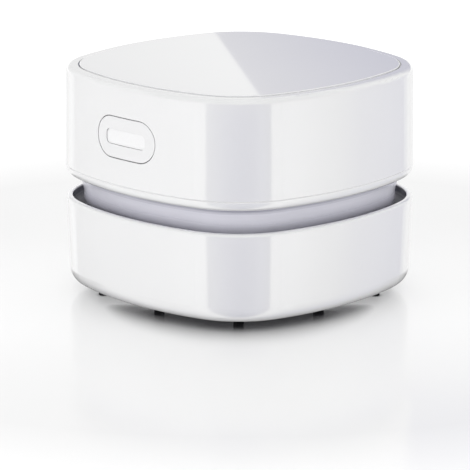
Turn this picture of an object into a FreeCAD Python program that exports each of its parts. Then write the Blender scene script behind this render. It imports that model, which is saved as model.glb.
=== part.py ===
"""Desktop mini vacuum cleaner as a parametric FreeCAD document.

A rounded-square motor unit sits on a matching dust cup. Air and crumbs enter a chimney in the base,
pass up through a filter and a centrifugal fan, and leave through the slot at the waist.
Lengths are millimetres, +Z is up, the power button faces -Y and the charging socket faces +Y.
The origin is on the table, under the middle of the cleaner.
"""
import FreeCAD
import Part
import math
import os
import re

import Sketcher
from FreeCAD import Placement, Rotation, Vector

# ---------------------------------------------------------------- driving sizes
SIZES = [
    # outer form
    ("half_width", 41.0, "half the width across the flats"),
    ("side_radius", 81.0, "plan radius of each bowed side"),
    ("corner_radius", 23.0, "plan radius of each corner"),
    ("floor_gap", 2.0, "table to base, which is the free length of the bristles"),
    ("lower_height", 23.7, "base to rim of the dust cup"),
    ("waist_gap", 5.7, "height of the open slot at the waist"),
    ("lip_height", 2.6, "white lip of the chassis under the seam"),
    ("upper_height", 26.1, "seam to crown of the upper shell"),
    ("lower_draft", 2.3, "draft of the dust cup's wall, degrees"),
    ("upper_draft", 0.65, "draft of the upper shell's wall, degrees"),
    ("shell_wall", 2.2, "wall of the upper shell"),
    ("rim_wall", 1.7, "wall of the dust cup"),
    ("bottom_round", 4.5, "round under the dust cup"),
    ("rim_round", 0.7, "round on the dust cup's rim"),
    ("lip_round", 2.2, "round under the chassis lip"),
    ("crown_round", 1.3, "round on the upper shell's crown"),
    ("edge_round", 0.3, "small rounds on visible edges"),
    ("seam_bevel", 0.2, "bevel that shows the seam"),
    # top plate
    ("plate_thickness", 1.5, "gloss top plate"),
    ("plate_inset", 3.8, "outer form to the plate's edge"),
    ("plate_gap", 0.4, "groove round the plate"),
    ("plate_proud", 0.3, "plate above the crown"),
    ("roof", 1.8, "roof under the plate"),
    # base and dust cup
    ("seat_inset", 5.9, "outer form to the base opening"),
    ("ledge_inset", 8.2, "outer form to the ledge's inner edge"),
    ("base_flange", 2.2, "flange of the base plate"),
    ("ledge", 1.0, "ledge that the base plate closes on"),
    ("part_gap", 0.15, "gap round a fitted moulding"),
    ("inlet_radius", 9.5, "bore of the suction chimney"),
    ("inlet_flare", 2.0, "flare of the inlet's mouth"),
    ("chimney_wall", 1.5, "wall of the chimney"),
    ("chimney_height", 5.8, "chimney above the base plate"),
    ("channel_depth", 0.7, "depth of the radial air channels"),
    ("channel_width", 4.0, "width of the radial air channels"),
    ("tuft_inset", 7.8, "outer form to a bristle tuft's axis"),
    ("tuft_radius", 1.4, "radius of a bristle tuft"),
    ("tuft_turn", 7.35, "middle of a side to its near tuft, degrees"),
    ("tuft_far_turn", 32.7, "middle of a side to its far tuft, degrees"),
    ("tuft_depth", 1.8, "depth of a tuft's socket"),
    ("chamber_height", 7.2, "clear height under the tray's deck"),
    ("tray_gap", 0.2, "gap between the tray and the cup's wall"),
    ("tray_wall", 1.4, "wall of the dust tray"),
    ("tray_deck", 1.6, "deck of the dust tray"),
    ("collar_radius", 31.0, "outside of the filter collar"),
    ("collar_wall", 1.6, "wall of the filter collar"),
    ("collar_height", 4.0, "collar above the deck"),
    ("filter_ledge", 2.0, "ledge that carries the filter"),
    ("seal_section", 0.65, "section radius of the collar's O-ring"),
    ("seal_fit", 0.05, "O-ring to the spigot it runs in"),
    ("seal_rise", 2.3, "O-ring above the tray's deck"),
    ("seal_clear", 0.1, "gap round the O-ring in its groove"),
    # filter
    ("filter_gap", 0.3, "gap round the filter frame"),
    ("filter_height", 3.0, "height of the filter frame"),
    ("filter_rim", 2.4, "rim of the filter frame"),
    ("filter_bar", 1.6, "bars of the filter frame"),
    ("filter_floor", 1.0, "bars under the filter medium"),
    ("tab_width", 12.0, "pull tab of the filter frame, sideways"),
    ("tab_depth", 4.8, "pull tab of the filter frame, front to back"),
    ("media_thickness", 1.4, "filter medium"),
    # fan deck
    ("cover_inset", 7.2, "outer form to the fan cover"),
    ("cover_thickness", 1.6, "fan cover plate"),
    ("spigot_gap", 0.95, "collar to the spigot's wall"),
    ("spigot_wall", 1.45, "wall of the spigot"),
    ("spigot_stop", 0.6, "spigot above the tray's deck"),
    ("eye_radius", 11.0, "inlet eye of the fan cover"),
    ("eye_round", 1.0, "round on the inlet eye"),
    ("neck_inset", 2.9, "outer form to the top of the neck"),
    ("flare_inset", 4.5, "outer form to the neck under its flare"),
    ("flare_height", 3.2, "flare at the top of the neck"),
    ("flare_round", 6.0, "round under the flare"),
    ("waist_inset", 4.7, "outer form to the foot of the neck's straight wall"),
    ("waist_height", 3.8, "straight wall of the neck"),
    ("waist_round", 2.5, "round at the foot of the straight wall"),
    ("neck_wall", 1.6, "wall of the neck"),
    ("slot_width", 1.8, "width of an exhaust slot"),
    ("slot_pitch", 4.0, "pitch of the exhaust slots"),
    ("slot_height", 3.6, "height of an exhaust slot"),
    ("slot_lift", 0.6, "exhaust slots above the fan cover"),
    ("impeller_radius", 24.0, "fan impeller"),
    ("impeller_gap", 0.8, "gap under the impeller"),
    ("impeller_back", 1.2, "impeller's back plate"),
    ("blade_height", 6.0, "height of a blade"),
    ("blade_inner", 9.5, "radius where a blade starts"),
    ("hub_radius", 4.2, "impeller's hub"),
    ("hub_nose", 1.0, "closed nose of the hub"),
    ("hub_rise", 1.0, "hub above the back plate"),
    ("blade_thickness", 1.0, "thickness of a blade"),
    ("blade_radius", 17.0, "plan radius of a blade"),
    ("blade_offset", 14.0, "axis to the centre of a blade's curve"),
    # chassis
    ("deck_thickness", 1.8, "deck of the chassis"),
    ("tongue_wall", 1.4, "tongue inside the upper shell"),
    ("tongue_height", 3.0, "tongue above the seam"),
    ("screw_inset", 9.75, "outer form's corner to the cover screws"),
    ("boss_radius", 2.3, "screw boss"),
    ("boss_rise", 3.5, "short boss above the deck"),
    ("pilot_radius", 0.85, "pilot hole of a small screw"),
    ("screw_bite", 5.0, "thread held by a boss"),
    ("cover_bite", 1.0, "cover screw above the chassis deck"),
    ("head_radius", 1.9, "screw head"),
    ("head_depth", 1.1, "countersunk part of a screw"),
    ("shank_radius", 0.8, "screw shank"),
    ("sink_gap", 0.1, "gap round a countersunk head"),
    ("shell_screw_x", 19.5, "shell screw, sideways"),
    ("shell_screw_inset", 9.5, "outer form to the shell screws"),
    ("base_screw_inset", 14.35, "outer form's corner to the base screws"),
    # motor
    ("motor_radius", 12.2, "motor can"),
    ("motor_headroom", 3.9, "motor can to the roof"),
    ("motor_cap", 1.4, "motor's end cap"),
    ("can_wall", 0.8, "wall of the motor can"),
    ("magnet_thickness", 2.2, "magnet"),
    ("magnet_gap", 0.1, "glue between a magnet and the can"),
    ("rotor_radius", 8.4, "motor's armature"),
    ("shaft_radius", 1.0, "motor shaft"),
    ("running_gap", 0.03, "shaft in its bearing"),
    ("bearing_radius", 2.4, "outside of a bearing"),
    ("bearing_height", 1.6, "lower bearing"),
    ("bearing_clear", 1.0, "gap round the bearing in the deck"),
    ("magnet_floor", 2.4, "deck to the magnets"),
    ("magnet_top", 4.2, "magnets to the motor's top"),
    ("magnet_split", 4.4, "gap between the two magnets"),
    ("rotor_floor", 3.4, "deck to the armature"),
    ("rotor_top", 7.0, "armature to the motor's top"),
    ("rotor_slot", 1.6, "slot of the armature"),
    ("rotor_core", 4.2, "armature's core, inside the slots"),
    ("commutator_radius", 3.0, "commutator"),
    ("commutator_floor", 5.6, "commutator's foot to the motor's top"),
    ("commutator_height", 2.8, "commutator"),
    ("shaft_proud", 0.8, "shaft above the motor"),
    ("sleeve_gap", 0.1, "gap on each side of the rubber sleeve"),
    ("sleeve_wall", 1.3, "rubber sleeve"),
    ("sleeve_proud", 1.0, "rubber sleeve above its pocket"),
    ("pocket_wall", 1.6, "motor pocket"),
    ("pocket_height", 7.0, "motor pocket above the deck"),
    ("motor_screw_reach", 8.0, "axis of the motor screws"),
    ("terminal_x", 5.0, "motor terminals, sideways"),
    ("terminal_thickness", 0.8, "motor terminal"),
    ("terminal_width", 1.6, "motor terminal"),
    ("terminal_height", 2.8, "motor terminal"),
    ("terminal_lead", 1.4, "motor's top to its leads"),
    # battery
    ("cell_radius", 7.0, "battery cell"),
    ("cell_length", 43.0, "battery cell"),
    ("cell_side", 16.0, "outer form to the cell's axis"),
    ("cell_lift", 0.8, "cell above the deck"),
    ("cell_gap", 0.05, "gap round the cell in its clips"),
    ("cell_cap", 1.2, "end cap of the cell"),
    ("cap_radius", 2.3, "end cap of the cell"),
    ("clip_wall", 1.4, "wall of a battery clip"),
    ("clip_inner", 12.0, "middle of the cell to a clip"),
    ("clip_width", 6.0, "width of a battery clip"),
    ("clip_rise", 3.5, "clip above the cell's axis"),
    # boards
    ("board_thickness", 1.2, "circuit boards"),
    ("board_half_width", 11.0, "charge board"),
    ("board_depth", 15.0, "charge board, front to back"),
    ("board_setback", 4.0, "outer form to the charge board"),
    ("board_lift", 4.8, "charge board above the deck"),
    ("board_screw_x", 8.5, "charge board screw, sideways"),
    ("board_screw_in", 3.5, "charge board's back edge to its screws"),
    ("socket_width", 8.94, "charging socket shell"),
    ("socket_height", 3.26, "charging socket shell"),
    ("socket_depth", 7.35, "charging socket shell"),
    ("socket_setback", 0.6, "outer form to the socket's mouth"),
    ("socket_wall", 0.3, "charging socket shell"),
    ("port_corner", 1.3, "corners of the charging socket shell"),
    ("port_gap", 0.25, "gap round the socket in the shell"),
    ("port_floor", 1.0, "closed back of the charging socket"),
    ("tongue_width", 6.64, "charging socket's tongue"),
    ("tongue_thickness", 0.7, "charging socket's tongue"),
    ("tongue_length", 4.85, "charging socket's tongue"),
    ("chip_side", 4.0, "charge controller"),
    ("chip_height", 1.0, "charge controller"),
    ("chip_y", 4.5, "charge board's front edge to the controller"),
    ("inductor_side", 3.0, "inductor"),
    ("inductor_height", 1.4, "inductor"),
    ("inductor_x", 5.5, "inductor, sideways"),
    ("inductor_y", 8.5, "charge board's front edge to the inductor"),
    ("capacitor_width", 1.6, "capacitor"),
    ("capacitor_depth", 0.8, "capacitor"),
    ("capacitor_height", 0.7, "capacitor"),
    ("capacitor_x", 1.5, "capacitor, sideways"),
    ("capacitor_y", 9.2, "charge board's front edge to the capacitors"),
    # button
    ("button_rise", 12.4, "button's axis above the seam"),
    ("button_width", 20.8, "button cap"),
    ("button_height", 10.5, "button cap"),
    ("button_gap", 0.25, "gap round the cap"),
    ("button_sink", 0.05, "cap under the shell's face"),
    ("button_travel", 0.8, "press of the button"),
    ("flange_gap", 0.06, "shell's wall to the ends of the cap's flange"),
    ("flange_thickness", 1.0, "cap's flange"),
    ("flange_reach", 1.0, "flange past the cap"),
    ("stem_radius", 1.4, "cap's stem"),
    ("stem_length", 3.3, "cap's stem"),
    ("lens_width", 14.0, "light bar in the cap"),
    ("lens_height", 3.7, "light bar in the cap"),
    ("lens_corner", 1.2, "corner of the light bar"),
    ("lens_sink", 0.3, "light bar under the cap's face"),
    ("lens_depth", 1.7, "pocket of the light bar"),
    ("lens_gap", 0.08, "gap round the light bar"),
    ("light_x", 5.2, "indicator light, sideways"),
    ("light_radius", 0.9, "light hole"),
    ("guide_front", 7.3, "outer form to the button guide"),
    ("guide_thickness", 1.2, "button guide"),
    ("guide_side", 2.2, "guide's posts to its short edges"),
    ("guide_edge", 2.5, "guide's posts to its long edges"),
    ("post_radius", 1.8, "button guide's posts"),
    ("post_side", 0.8, "button's end to the guide's posts"),
    ("post_lift", 0.75, "button's long edge to the guide's posts"),
    ("slide_gap", 0.3, "gap round the sliding stem"),
    ("plunger_rest", 0.4, "switch plunger outside its switch when pressed"),
    ("plunger_radius", 1.4, "switch plunger"),
    ("switch_depth", 3.5, "tact switch body"),
    ("switch_side", 6.0, "tact switch body"),
    ("switch_floor", 1.0, "closed back of the tact switch"),
    ("plunger_grip", 1.0, "plunger inside its switch"),
    ("light_chip_width", 1.44, "indicator light's chip"),
    ("light_chip_height", 0.9, "indicator light's chip"),
    ("light_chip_corner", 0.15, "indicator light's chip"),
    ("light_chip_depth", 1.2, "indicator light's chip"),
    ("spring_wire", 0.22, "button spring's wire, radius"),
    ("spring_radius", 2.2, "button spring, to the wire's middle"),
    ("spring_turns", 3.0, "button spring"),
    ("lead_radius", 0.7, "insulated lead"),
    ("lead_bend", 1.6, "bend of a lead, to its middle"),
    ("lead_side", 3.0, "cell's axis to its rear lead"),
    ("lead_pad", 5.0, "charge board's front edge to the lead pads"),
    ("lead_inset", 1.2, "charge board's side to a lead's end"),
    ("lead_drop", 2.6, "lead in front of the switch board"),
    ("lead_post", 3.0, "guide's posts to the leads beside them"),
    ("motor_lead_drop", 3.5, "motor lead in front of the switch board"),
    ("motor_lead_rise", 3.0, "button's axis to the end of a motor lead"),
    ("motor_pad", 2.0, "charge board's front edge to the motor lead's pad"),
]

doc = FreeCAD.newDocument("desk_vacuum")
sheet = doc.addObject("Spreadsheet::Sheet", "sizes")
for row, (alias, value, note) in enumerate(SIZES, 1):
    sheet.set(f"A{row}", note)
    sheet.set(f"B{row}", str(value))
    sheet.setAlias(f"B{row}", alias)
doc.recompute()
ALIASES = {alias for alias, value, note in SIZES}

# ---------------------------------------------------------------- derived heights, as expressions
BASE = "floor_gap"
SEAT = "(floor_gap + base_flange)"
FLOOR = f"({SEAT} + ledge)"
TRAY_DECK = f"({FLOOR} + chamber_height)"
FILTER_SEAT = f"({TRAY_DECK} + tray_deck)"
COLLAR_TOP = f"({FILTER_SEAT} + collar_height)"
COVER_TOP = f"({COLLAR_TOP} + cover_thickness)"
RIM = "(floor_gap + lower_height)"
LIP = f"({RIM} + waist_gap)"
CHASSIS_DECK = f"({LIP} + deck_thickness)"
SEAM = f"({LIP} + lip_height)"
CROWN = f"({SEAM} + upper_height)"
RECESS = f"({CROWN} + plate_proud - plate_thickness)"
CEILING = f"({RECESS} - roof)"
MOTOR_TOP = f"({CEILING} - motor_headroom)"
BUTTON_Z = f"({SEAM} + button_rise)"
BOARD_Z = f"({CHASSIS_DECK} + board_lift)"
BOARD_TOP = f"({BOARD_Z} + board_thickness)"
SEAL_REACH = "(collar_radius + spigot_gap - seal_fit - seal_section)"
SEAL_Z = f"({FILTER_SEAT} + seal_rise)"
MOTOR_POCKET = "(motor_radius + 2 * sleeve_gap + sleeve_wall + pocket_wall)"
BLADE_CENTRE = ("blade_offset", "0")
FILTER_RADIUS = "(collar_radius - collar_wall - filter_gap)"
IMPELLER = f"({COVER_TOP} + impeller_gap)"
IMPELLER_BACK = f"({IMPELLER} + blade_height)"
FLARE = f"({LIP} - flare_height)"
WAIST = f"({FLARE} - waist_height)"
CELL_X = "(cell_side - half_width)"
CELL_Z = f"({CHASSIS_DECK} + cell_lift + cell_radius)"
SIDE_CENTRE = "(side_radius - half_width)"
SHELL_SCREW_Y = "(half_width - shell_screw_inset)"
BOARD_BACK = "(half_width - board_setback)"
BOARD_FRONT = f"({BOARD_BACK} - board_depth)"
BOARD_SCREW_Y = f"({BOARD_BACK} - board_screw_in)"
PORT_Z = f"({BOARD_TOP} + socket_height / 2)"
FLANGE_BOW = f"({SIDE_CENTRE} - sqrt((side_radius - shell_wall) ^ 2 - (button_width / 2 + flange_reach) ^ 2))"
FLANGE_DRAFT = "((button_rise + button_height / 2 + flange_reach) * tan(upper_draft))"
FLANGE = f"(half_width + {FLANGE_BOW} + {FLANGE_DRAFT} + flange_gap)"
POST_X = "(button_width / 2 + post_side)"
POST_Z = "(button_height / 2 + post_lift)"
GUIDE_WIDTH = f"2 * ({POST_X} + guide_side)"
GUIDE_HEIGHT = f"2 * ({POST_Z} + guide_edge)"
GUIDE_FRONT = "(half_width - guide_front)"
GUIDE_BACK = f"({GUIDE_FRONT} - guide_thickness)"
PLUNGER = f"(half_width - {FLANGE} - flange_thickness - stem_length)"
SWITCH_FACE = f"({PLUNGER} - button_travel - plunger_rest)"
SWITCH_BOARD = f"({SWITCH_FACE} - switch_depth)"
SWITCH_BOARD_BACK = f"({SWITCH_BOARD} - board_thickness)"


# ---------------------------------------------------------------- helpers
def cell(expression):
    """The expression with every size written as a cell of the sheet."""
    return re.sub(r"[a-z_]+", lambda m: f"sizes.{m[0]}" if m[0] in ALIASES else m[0], str(expression))


def number(expression):
    """The value of an expression, in millimetres or degrees."""
    return float(sheet.evalExpression(cell(expression)))


def bind(item, name, expression):
    """Ties a property to the sheet."""
    item.setExpression(name, cell(expression))


def new_body(label, several=False):
    """An empty body; several allows a group of separate solids."""
    body = doc.addObject("PartDesign::Body", label)
    body.Label = label
    body.AllowCompound = several
    return body


def new_sketch(body, plane, origin=("0", "0", "0")):
    """A sketch on one of the body's own planes, moved by origin in the sketch's own directions."""
    sketch = body.newObject("Sketcher::SketchObject", f"{body.Label}_sketch")
    support = [o for o in body.Origin.OriginFeatures if o.Role == f"{plane}_Plane"][0]
    sketch.AttachmentSupport = [(support, "")]
    sketch.MapMode = "FlatFace"
    for axis, expression in zip("xyz", origin):
        bind(sketch, f"AttachmentOffset.Base.{axis}", expression)
    return sketch


def hold(sketch, kind, *where, value):
    """A constraint whose value is tied to the sheet."""
    index = sketch.addConstraint(Sketcher.Constraint(kind, *where, number(value)))
    bind(sketch, f"Constraints[{index}]", value)


def place_point(sketch, geometry, end, x, y):
    """Ties one end of a line or arc to a place in the sketch."""
    hold(sketch, "DistanceX", -1, 1, geometry, end, value=x)
    hold(sketch, "DistanceY", -1, 1, geometry, end, value=y)


def outline_numbers(inset):
    """Radii of a side and a corner, the places of their centres, and half a side's angle."""
    side, corner = number(f"side_radius - ({inset})"), number(f"corner_radius - ({inset})")
    centre = -number(SIDE_CENTRE)
    reach = (2 * centre + math.sqrt(8 * (side - corner) ** 2 - 4 * centre**2)) / 4
    return side, corner, centre, reach, math.atan2(reach, reach - centre)


def outline(body, inset, height):
    """The rounded square with bowed sides, inset from the outer form, at a height."""
    sketch = new_sketch(body, "XY", ("0", "0", height))
    side, corner, centre, reach, half = outline_numbers(inset)
    for quarter in range(4):
        turn = quarter * math.pi / 2
        side_at = Rotation(Vector(0, 0, 1), 90 * quarter).multVec(Vector(centre, 0, 0))
        corner_at = Rotation(Vector(0, 0, 1), 90 * quarter).multVec(Vector(reach, reach, 0))
        bow = Part.Circle(side_at, Vector(0, 0, 1), side)
        sketch.addGeometry(Part.ArcOfCircle(bow, turn - half, turn + half))
        bend = Part.Circle(corner_at, Vector(0, 0, 1), corner)
        sketch.addGeometry(Part.ArcOfCircle(bend, turn + half, turn + math.pi / 2 - half))
    for arc in range(8):
        sketch.addConstraint(Sketcher.Constraint("Tangent", arc, 2, (arc + 1) % 8, 1))
    for arc in (2, 4, 6):
        sketch.addConstraint(Sketcher.Constraint("Equal", 0, arc))
        sketch.addConstraint(Sketcher.Constraint("Equal", 1, arc + 1))
    for quarter, (kind, axis, sign) in enumerate(
        [("DistanceX", -1, 1), ("DistanceY", -2, 1), ("DistanceX", -1, -1), ("DistanceY", -2, -1)]
    ):
        sketch.addConstraint(Sketcher.Constraint("PointOnObject", 2 * quarter, 3, axis))
        hold(sketch, kind, 2 * quarter, 3, -1, 1, value=f"{sign} * {SIDE_CENTRE}")
    hold(sketch, "Radius", 0, value=f"side_radius - ({inset})")
    hold(sketch, "Radius", 1, value=f"corner_radius - ({inset})")
    return sketch


def add_polygon(sketch, points):
    """Adds a closed outline of straight lines through points given as expressions."""
    first, count = sketch.GeometryCount, len(points)
    corners = [Vector(number(x), number(y), 0) for x, y in points]
    for start, end in zip(corners, corners[1:] + corners[:1]):
        sketch.addGeometry(Part.LineSegment(start, end))
    for line, (x, y) in enumerate(points):
        before = first + (line - 1) % count
        sketch.addConstraint(Sketcher.Constraint("Coincident", before, 2, first + line, 1))
        place_point(sketch, first + line, 1, x, y)
    return sketch


def add_box(sketch, x, y):
    """Adds a rectangle from x[0] to x[1] and y[0] to y[1]."""
    return add_polygon(sketch, [(x[0], y[0]), (x[1], y[0]), (x[1], y[1]), (x[0], y[1])])


def polygon(body, plane, points, origin=("0", "0", "0")):
    """A sketch with one closed outline of straight lines."""
    return add_polygon(new_sketch(body, plane, origin), points)


def box(body, plane, x, y, origin=("0", "0", "0")):
    """A sketch with one rectangle."""
    return add_box(new_sketch(body, plane, origin), x, y)


def circles(body, plane, rings, origin=("0", "0", "0")):
    """Circles given as (x, y, radius)."""
    sketch = new_sketch(body, plane, origin)
    for ring, (x, y, radius) in enumerate(rings):
        centre = Vector(number(x), number(y), 0)
        sketch.addGeometry(Part.Circle(centre, Vector(0, 0, 1), number(radius)))
        place_point(sketch, ring, 3, x, y)
        hold(sketch, "Radius", ring, value=radius)
    return sketch


def rounded_box(body, plane, width, height, radius, origin=("0", "0", "0")):
    """A rectangle with round corners about the sketch's origin."""
    sketch = new_sketch(body, plane, origin)
    x, y, r = number(width) / 2, number(height) / 2, number(radius)
    sides = [
        ((x, r - y), (x, y - r)),
        ((x - r, y), (r - x, y)),
        ((-x, y - r), (-x, r - y)),
        ((r - x, -y), (x - r, -y)),
    ]
    middles = [(x - r, y - r), (r - x, y - r), (r - x, r - y), (x - r, r - y)]
    for quarter, (line, middle) in enumerate(zip(sides, middles)):
        sketch.addGeometry(Part.LineSegment(Vector(*line[0], 0), Vector(*line[1], 0)))
        turn = quarter * math.pi / 2
        circle = Part.Circle(Vector(*middle, 0), Vector(0, 0, 1), r)
        sketch.addGeometry(Part.ArcOfCircle(circle, turn, turn + math.pi / 2))
    for part in range(8):
        sketch.addConstraint(Sketcher.Constraint("Tangent", part, 2, (part + 1) % 8, 1))
    for arc in (3, 5, 7):
        sketch.addConstraint(Sketcher.Constraint("Equal", 1, arc))
    for line, kind in ((0, "Vertical"), (2, "Horizontal"), (4, "Vertical"), (6, "Horizontal")):
        sketch.addConstraint(Sketcher.Constraint(kind, line))
    hold(sketch, "Radius", 1, value=radius)
    hold(sketch, "DistanceX", -1, 1, 0, 1, value=f"({width}) / 2")
    hold(sketch, "DistanceX", -1, 1, 4, 1, value=f"-({width}) / 2")
    hold(sketch, "DistanceY", -1, 1, 2, 1, value=f"({height}) / 2")
    hold(sketch, "DistanceY", -1, 1, 6, 1, value=f"-({height}) / 2")
    return sketch


def stadium(body, plane, width, height, origin=("0", "0", "0")):
    """A long round-ended outline about the sketch's origin."""
    sketch = new_sketch(body, plane, origin)
    x, r = (number(width) - number(height)) / 2, number(height) / 2
    quarter = math.pi / 2
    right, left = (Part.Circle(Vector(middle, 0, 0), Vector(0, 0, 1), r) for middle in (x, -x))
    sketch.addGeometry(Part.ArcOfCircle(right, -quarter, quarter))
    sketch.addGeometry(Part.LineSegment(Vector(x, r, 0), Vector(-x, r, 0)))
    sketch.addGeometry(Part.ArcOfCircle(left, quarter, 3 * quarter))
    sketch.addGeometry(Part.LineSegment(Vector(-x, -r, 0), Vector(x, -r, 0)))
    for part in range(4):
        sketch.addConstraint(Sketcher.Constraint("Tangent", part, 2, (part + 1) % 4, 1))
    sketch.addConstraint(Sketcher.Constraint("Horizontal", 1))
    hold(sketch, "Radius", 0, value=f"({height}) / 2")
    place_point(sketch, 0, 3, f"(({width}) - ({height})) / 2", "0")
    hold(sketch, "DistanceX", -1, 1, 2, 3, value=f"-(({width}) - ({height})) / 2")
    return sketch


def solid_volume(body):
    """Volume of the body so far."""
    doc.recompute()
    return body.Shape.Volume if body.Tip else 0.0


def pad(body, sketch, length, back=False, draft=None):
    """Adds the sketch's area, pulled along its normal."""
    feature = body.newObject("PartDesign::Pad", f"{body.Label}_pad")
    feature.Profile = sketch
    bind(feature, "Length", length)
    feature.Reversed = back
    if draft:
        bind(feature, "TaperAngle", draft)
    doc.recompute()
    return feature


def pocket(body, sketch, length, back=False, draft=None):
    """Cuts the sketch's area against its normal, or along it where back is set."""
    before = solid_volume(body)
    feature = body.newObject("PartDesign::Pocket", f"{body.Label}_pocket")
    feature.Profile = sketch
    bind(feature, "Length", length)
    feature.Reversed = back
    if draft:
        bind(feature, "TaperAngle", draft)
    if not solid_volume(body) < before - 1e-6:
        raise RuntimeError(f"{feature.Name} cuts nothing")
    return feature


def revolve(body, sketch, axis="V_Axis"):
    """Turns the sketch's area about one of its axes."""
    feature = body.newObject("PartDesign::Revolution", f"{body.Label}_turned")
    feature.Profile = sketch
    feature.ReferenceAxis = (sketch, [axis])
    doc.recompute()
    return feature


def groove(body, sketch, axis="V_Axis"):
    """Cuts the sketch's area, turned about one of its axes."""
    before = solid_volume(body)
    feature = body.newObject("PartDesign::Groove", f"{body.Label}_groove")
    feature.Profile = sketch
    feature.ReferenceAxis = (sketch, [axis])
    if not solid_volume(body) < before - 1e-6:
        raise RuntimeError(f"{feature.Name} cuts nothing")
    return feature


def round_pattern(body, features, count):
    """Repeats features round the vertical axis."""
    feature = body.newObject("PartDesign::PolarPattern", f"{body.Label}_round")
    feature.Originals = features
    feature.Axis = ([o for o in body.Origin.OriginFeatures if o.Role == "Z_Axis"][0], [""])
    feature.Angle = 360
    feature.Occurrences = count
    body.Tip = feature
    doc.recompute()
    return feature


def edges_where(body, test):
    """Names of the edges that pass a test."""
    doc.recompute()
    return [f"Edge{i}" for i, edge in enumerate(body.Shape.Edges, 1) if test(edge)]


def arc_joint(inset):
    """Distance from the axis to the joint between a side and a corner of the outline, in millimetres."""
    side, corner, centre, reach, half = outline_numbers(inset)
    return math.hypot(reach + corner * math.cos(half), reach + corner * math.sin(half))


def on_outline(inset, height):
    """A test for the edges of an outline at a height."""
    level, joint = number(height), arc_joint(inset)

    def test(edge):
        flat = all(abs(v.Z - level) < 1e-3 for v in edge.Vertexes)
        return flat and all(abs(math.hypot(v.X, v.Y) - joint) < 0.05 for v in edge.Vertexes)

    return test


def ring_at(radius, height):
    """A test for a round edge about the axis, at a height."""
    level, size = number(height), number(radius)

    def test(edge):
        curve = edge.Curve
        if not isinstance(curve, Part.Circle) or abs(curve.Radius - size) > 1e-4:
            return False
        return (curve.Center - Vector(0, 0, level)).Length < 1e-4

    return test


def dress(body, kind, edges, prop, expression):
    """A fillet or chamfer on named edges."""
    if not edges:
        raise RuntimeError(f"{body.Label} has no edge for its {kind.lower()}")
    base = body.Tip
    feature = body.newObject(f"PartDesign::{kind}", f"{body.Label}_{kind.lower()}")
    feature.Base = (base, edges)
    bind(feature, prop, expression)
    body.Tip = feature
    doc.recompute()
    return feature


def fillet(body, test, radius):
    return dress(body, "Fillet", edges_where(body, test), "Radius", radius)


def chamfer(body, test, size):
    return dress(body, "Chamfer", edges_where(body, test), "Size", size)


def outline_radius(inset, angle):
    """Distance from the axis to a bowed side, as an expression; angle is from the side's middle."""
    return (
        f"(sqrt((side_radius - ({inset})) ^ 2 - ({SIDE_CENTRE} * sin({angle})) ^ 2)"
        f" - {SIDE_CENTRE} * cos({angle}))"
    )


def corner_reach(inset):
    """Distance from the axis to a corner of the outline, as an expression."""
    centre = f"((sqrt(2 * (side_radius - corner_radius) ^ 2 - {SIDE_CENTRE} ^ 2) - {SIDE_CENTRE}) / 2)"
    return f"({centre} * sqrt(2) + corner_radius - ({inset}))"


# ---------------------------------------------------------------- shared shapes
def diagonal(reach, turn=0):
    """A point on a diagonal, at a distance from the axis, turned by quarters."""
    signs = [("", ""), ("-", ""), ("-", "-"), ("", "-")][turn]
    return tuple(f"{sign}({reach}) / sqrt(2)" for sign in signs)


def corner_spots(inset):
    """The four points on the diagonals, at a distance inside the outer form's corners."""
    return [diagonal(corner_reach(inset), turn) for turn in range(4)]


def shell_spots():
    """Where the shell screws stand."""
    return [(x, y) for x in ("shell_screw_x", "-shell_screw_x") for y in (SHELL_SCREW_Y, f"-{SHELL_SCREW_Y}")]


def guide_posts():
    """Where the button guide's posts stand, from the button's axis."""
    return [(x, z) for x in (POST_X, f"-{POST_X}") for z in (POST_Z, f"-{POST_Z}")]


def screw_section(gap, length, sign):
    """Half the section of a countersunk screw or of its hole."""
    return [
        ("0", "0"),
        (f"head_radius + {gap}", "0"),
        (f"shank_radius + {gap}", f"{sign}head_depth"),
        (f"shank_radius + {gap}", f"{sign}({length})"),
        ("0", f"{sign}({length})"),
    ]


def screw_plane(at, way):
    """The plane and origin of a screw's section; way is the direction of its shank."""
    x, y, z = at
    return ("XZ", (x, z, f"-({y})")) if way.endswith("Z") else ("XY", (x, y, z))


def screw(body, at, length, way):
    """A countersunk screw with a cross recess; at is the middle of its head's face."""
    sign = "-" if way.startswith("-") else ""
    plane, origin = screw_plane(at, way)
    revolve(body, polygon(body, plane, screw_section("0", length, sign), origin))
    x, y, z = at
    arm, half = "head_radius / 2", "shank_radius / 4"
    cross = [
        (arm, f"-{half}"), (arm, half), (half, half), (half, arm), (f"-{half}", arm), (f"-{half}", half),
        (f"-{arm}", half), (f"-{arm}", f"-{half}"), (f"-{half}", f"-{half}"), (f"-{half}", f"-{arm}"),
        (half, f"-{arm}"), (half, f"-{half}"),
    ]
    flat, low, origin = ("XY", y, ("0", "0", z)) if way.endswith("Z") else ("XZ", z, ("0", "0", f"-({y})"))
    recess = polygon(body, flat, [(f"{x} + {a}", f"{low} + {b}") for a, b in cross], origin)
    pocket(body, recess, "head_depth / 2", back=way != "-Z")


def sink(body, at, length, way):
    """The countersunk hole of a screw."""
    sign = "-" if way.startswith("-") else ""
    plane, origin = screw_plane(at, way)
    groove(body, polygon(body, plane, screw_section("sink_gap", length, sign), origin))


def hole(body, radius, low, high, at=("0", "0")):
    """A round upright hole."""
    pocket(body, circles(body, "XY", [(*at, radius)], ("0", "0", low)), f"({high}) - ({low})", back=True)


def column(body, radius, low, high, at=("0", "0")):
    """A round upright column."""
    pad(body, circles(body, "XY", [(*at, radius)], ("0", "0", low)), f"({high}) - ({low})")


def ring(body, outer, inner, low, high):
    """A tube about the axis."""
    sketch = circles(body, "XY", [("0", "0", outer), ("0", "0", inner)], ("0", "0", low))
    pad(body, sketch, f"({high}) - ({low})")


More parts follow.
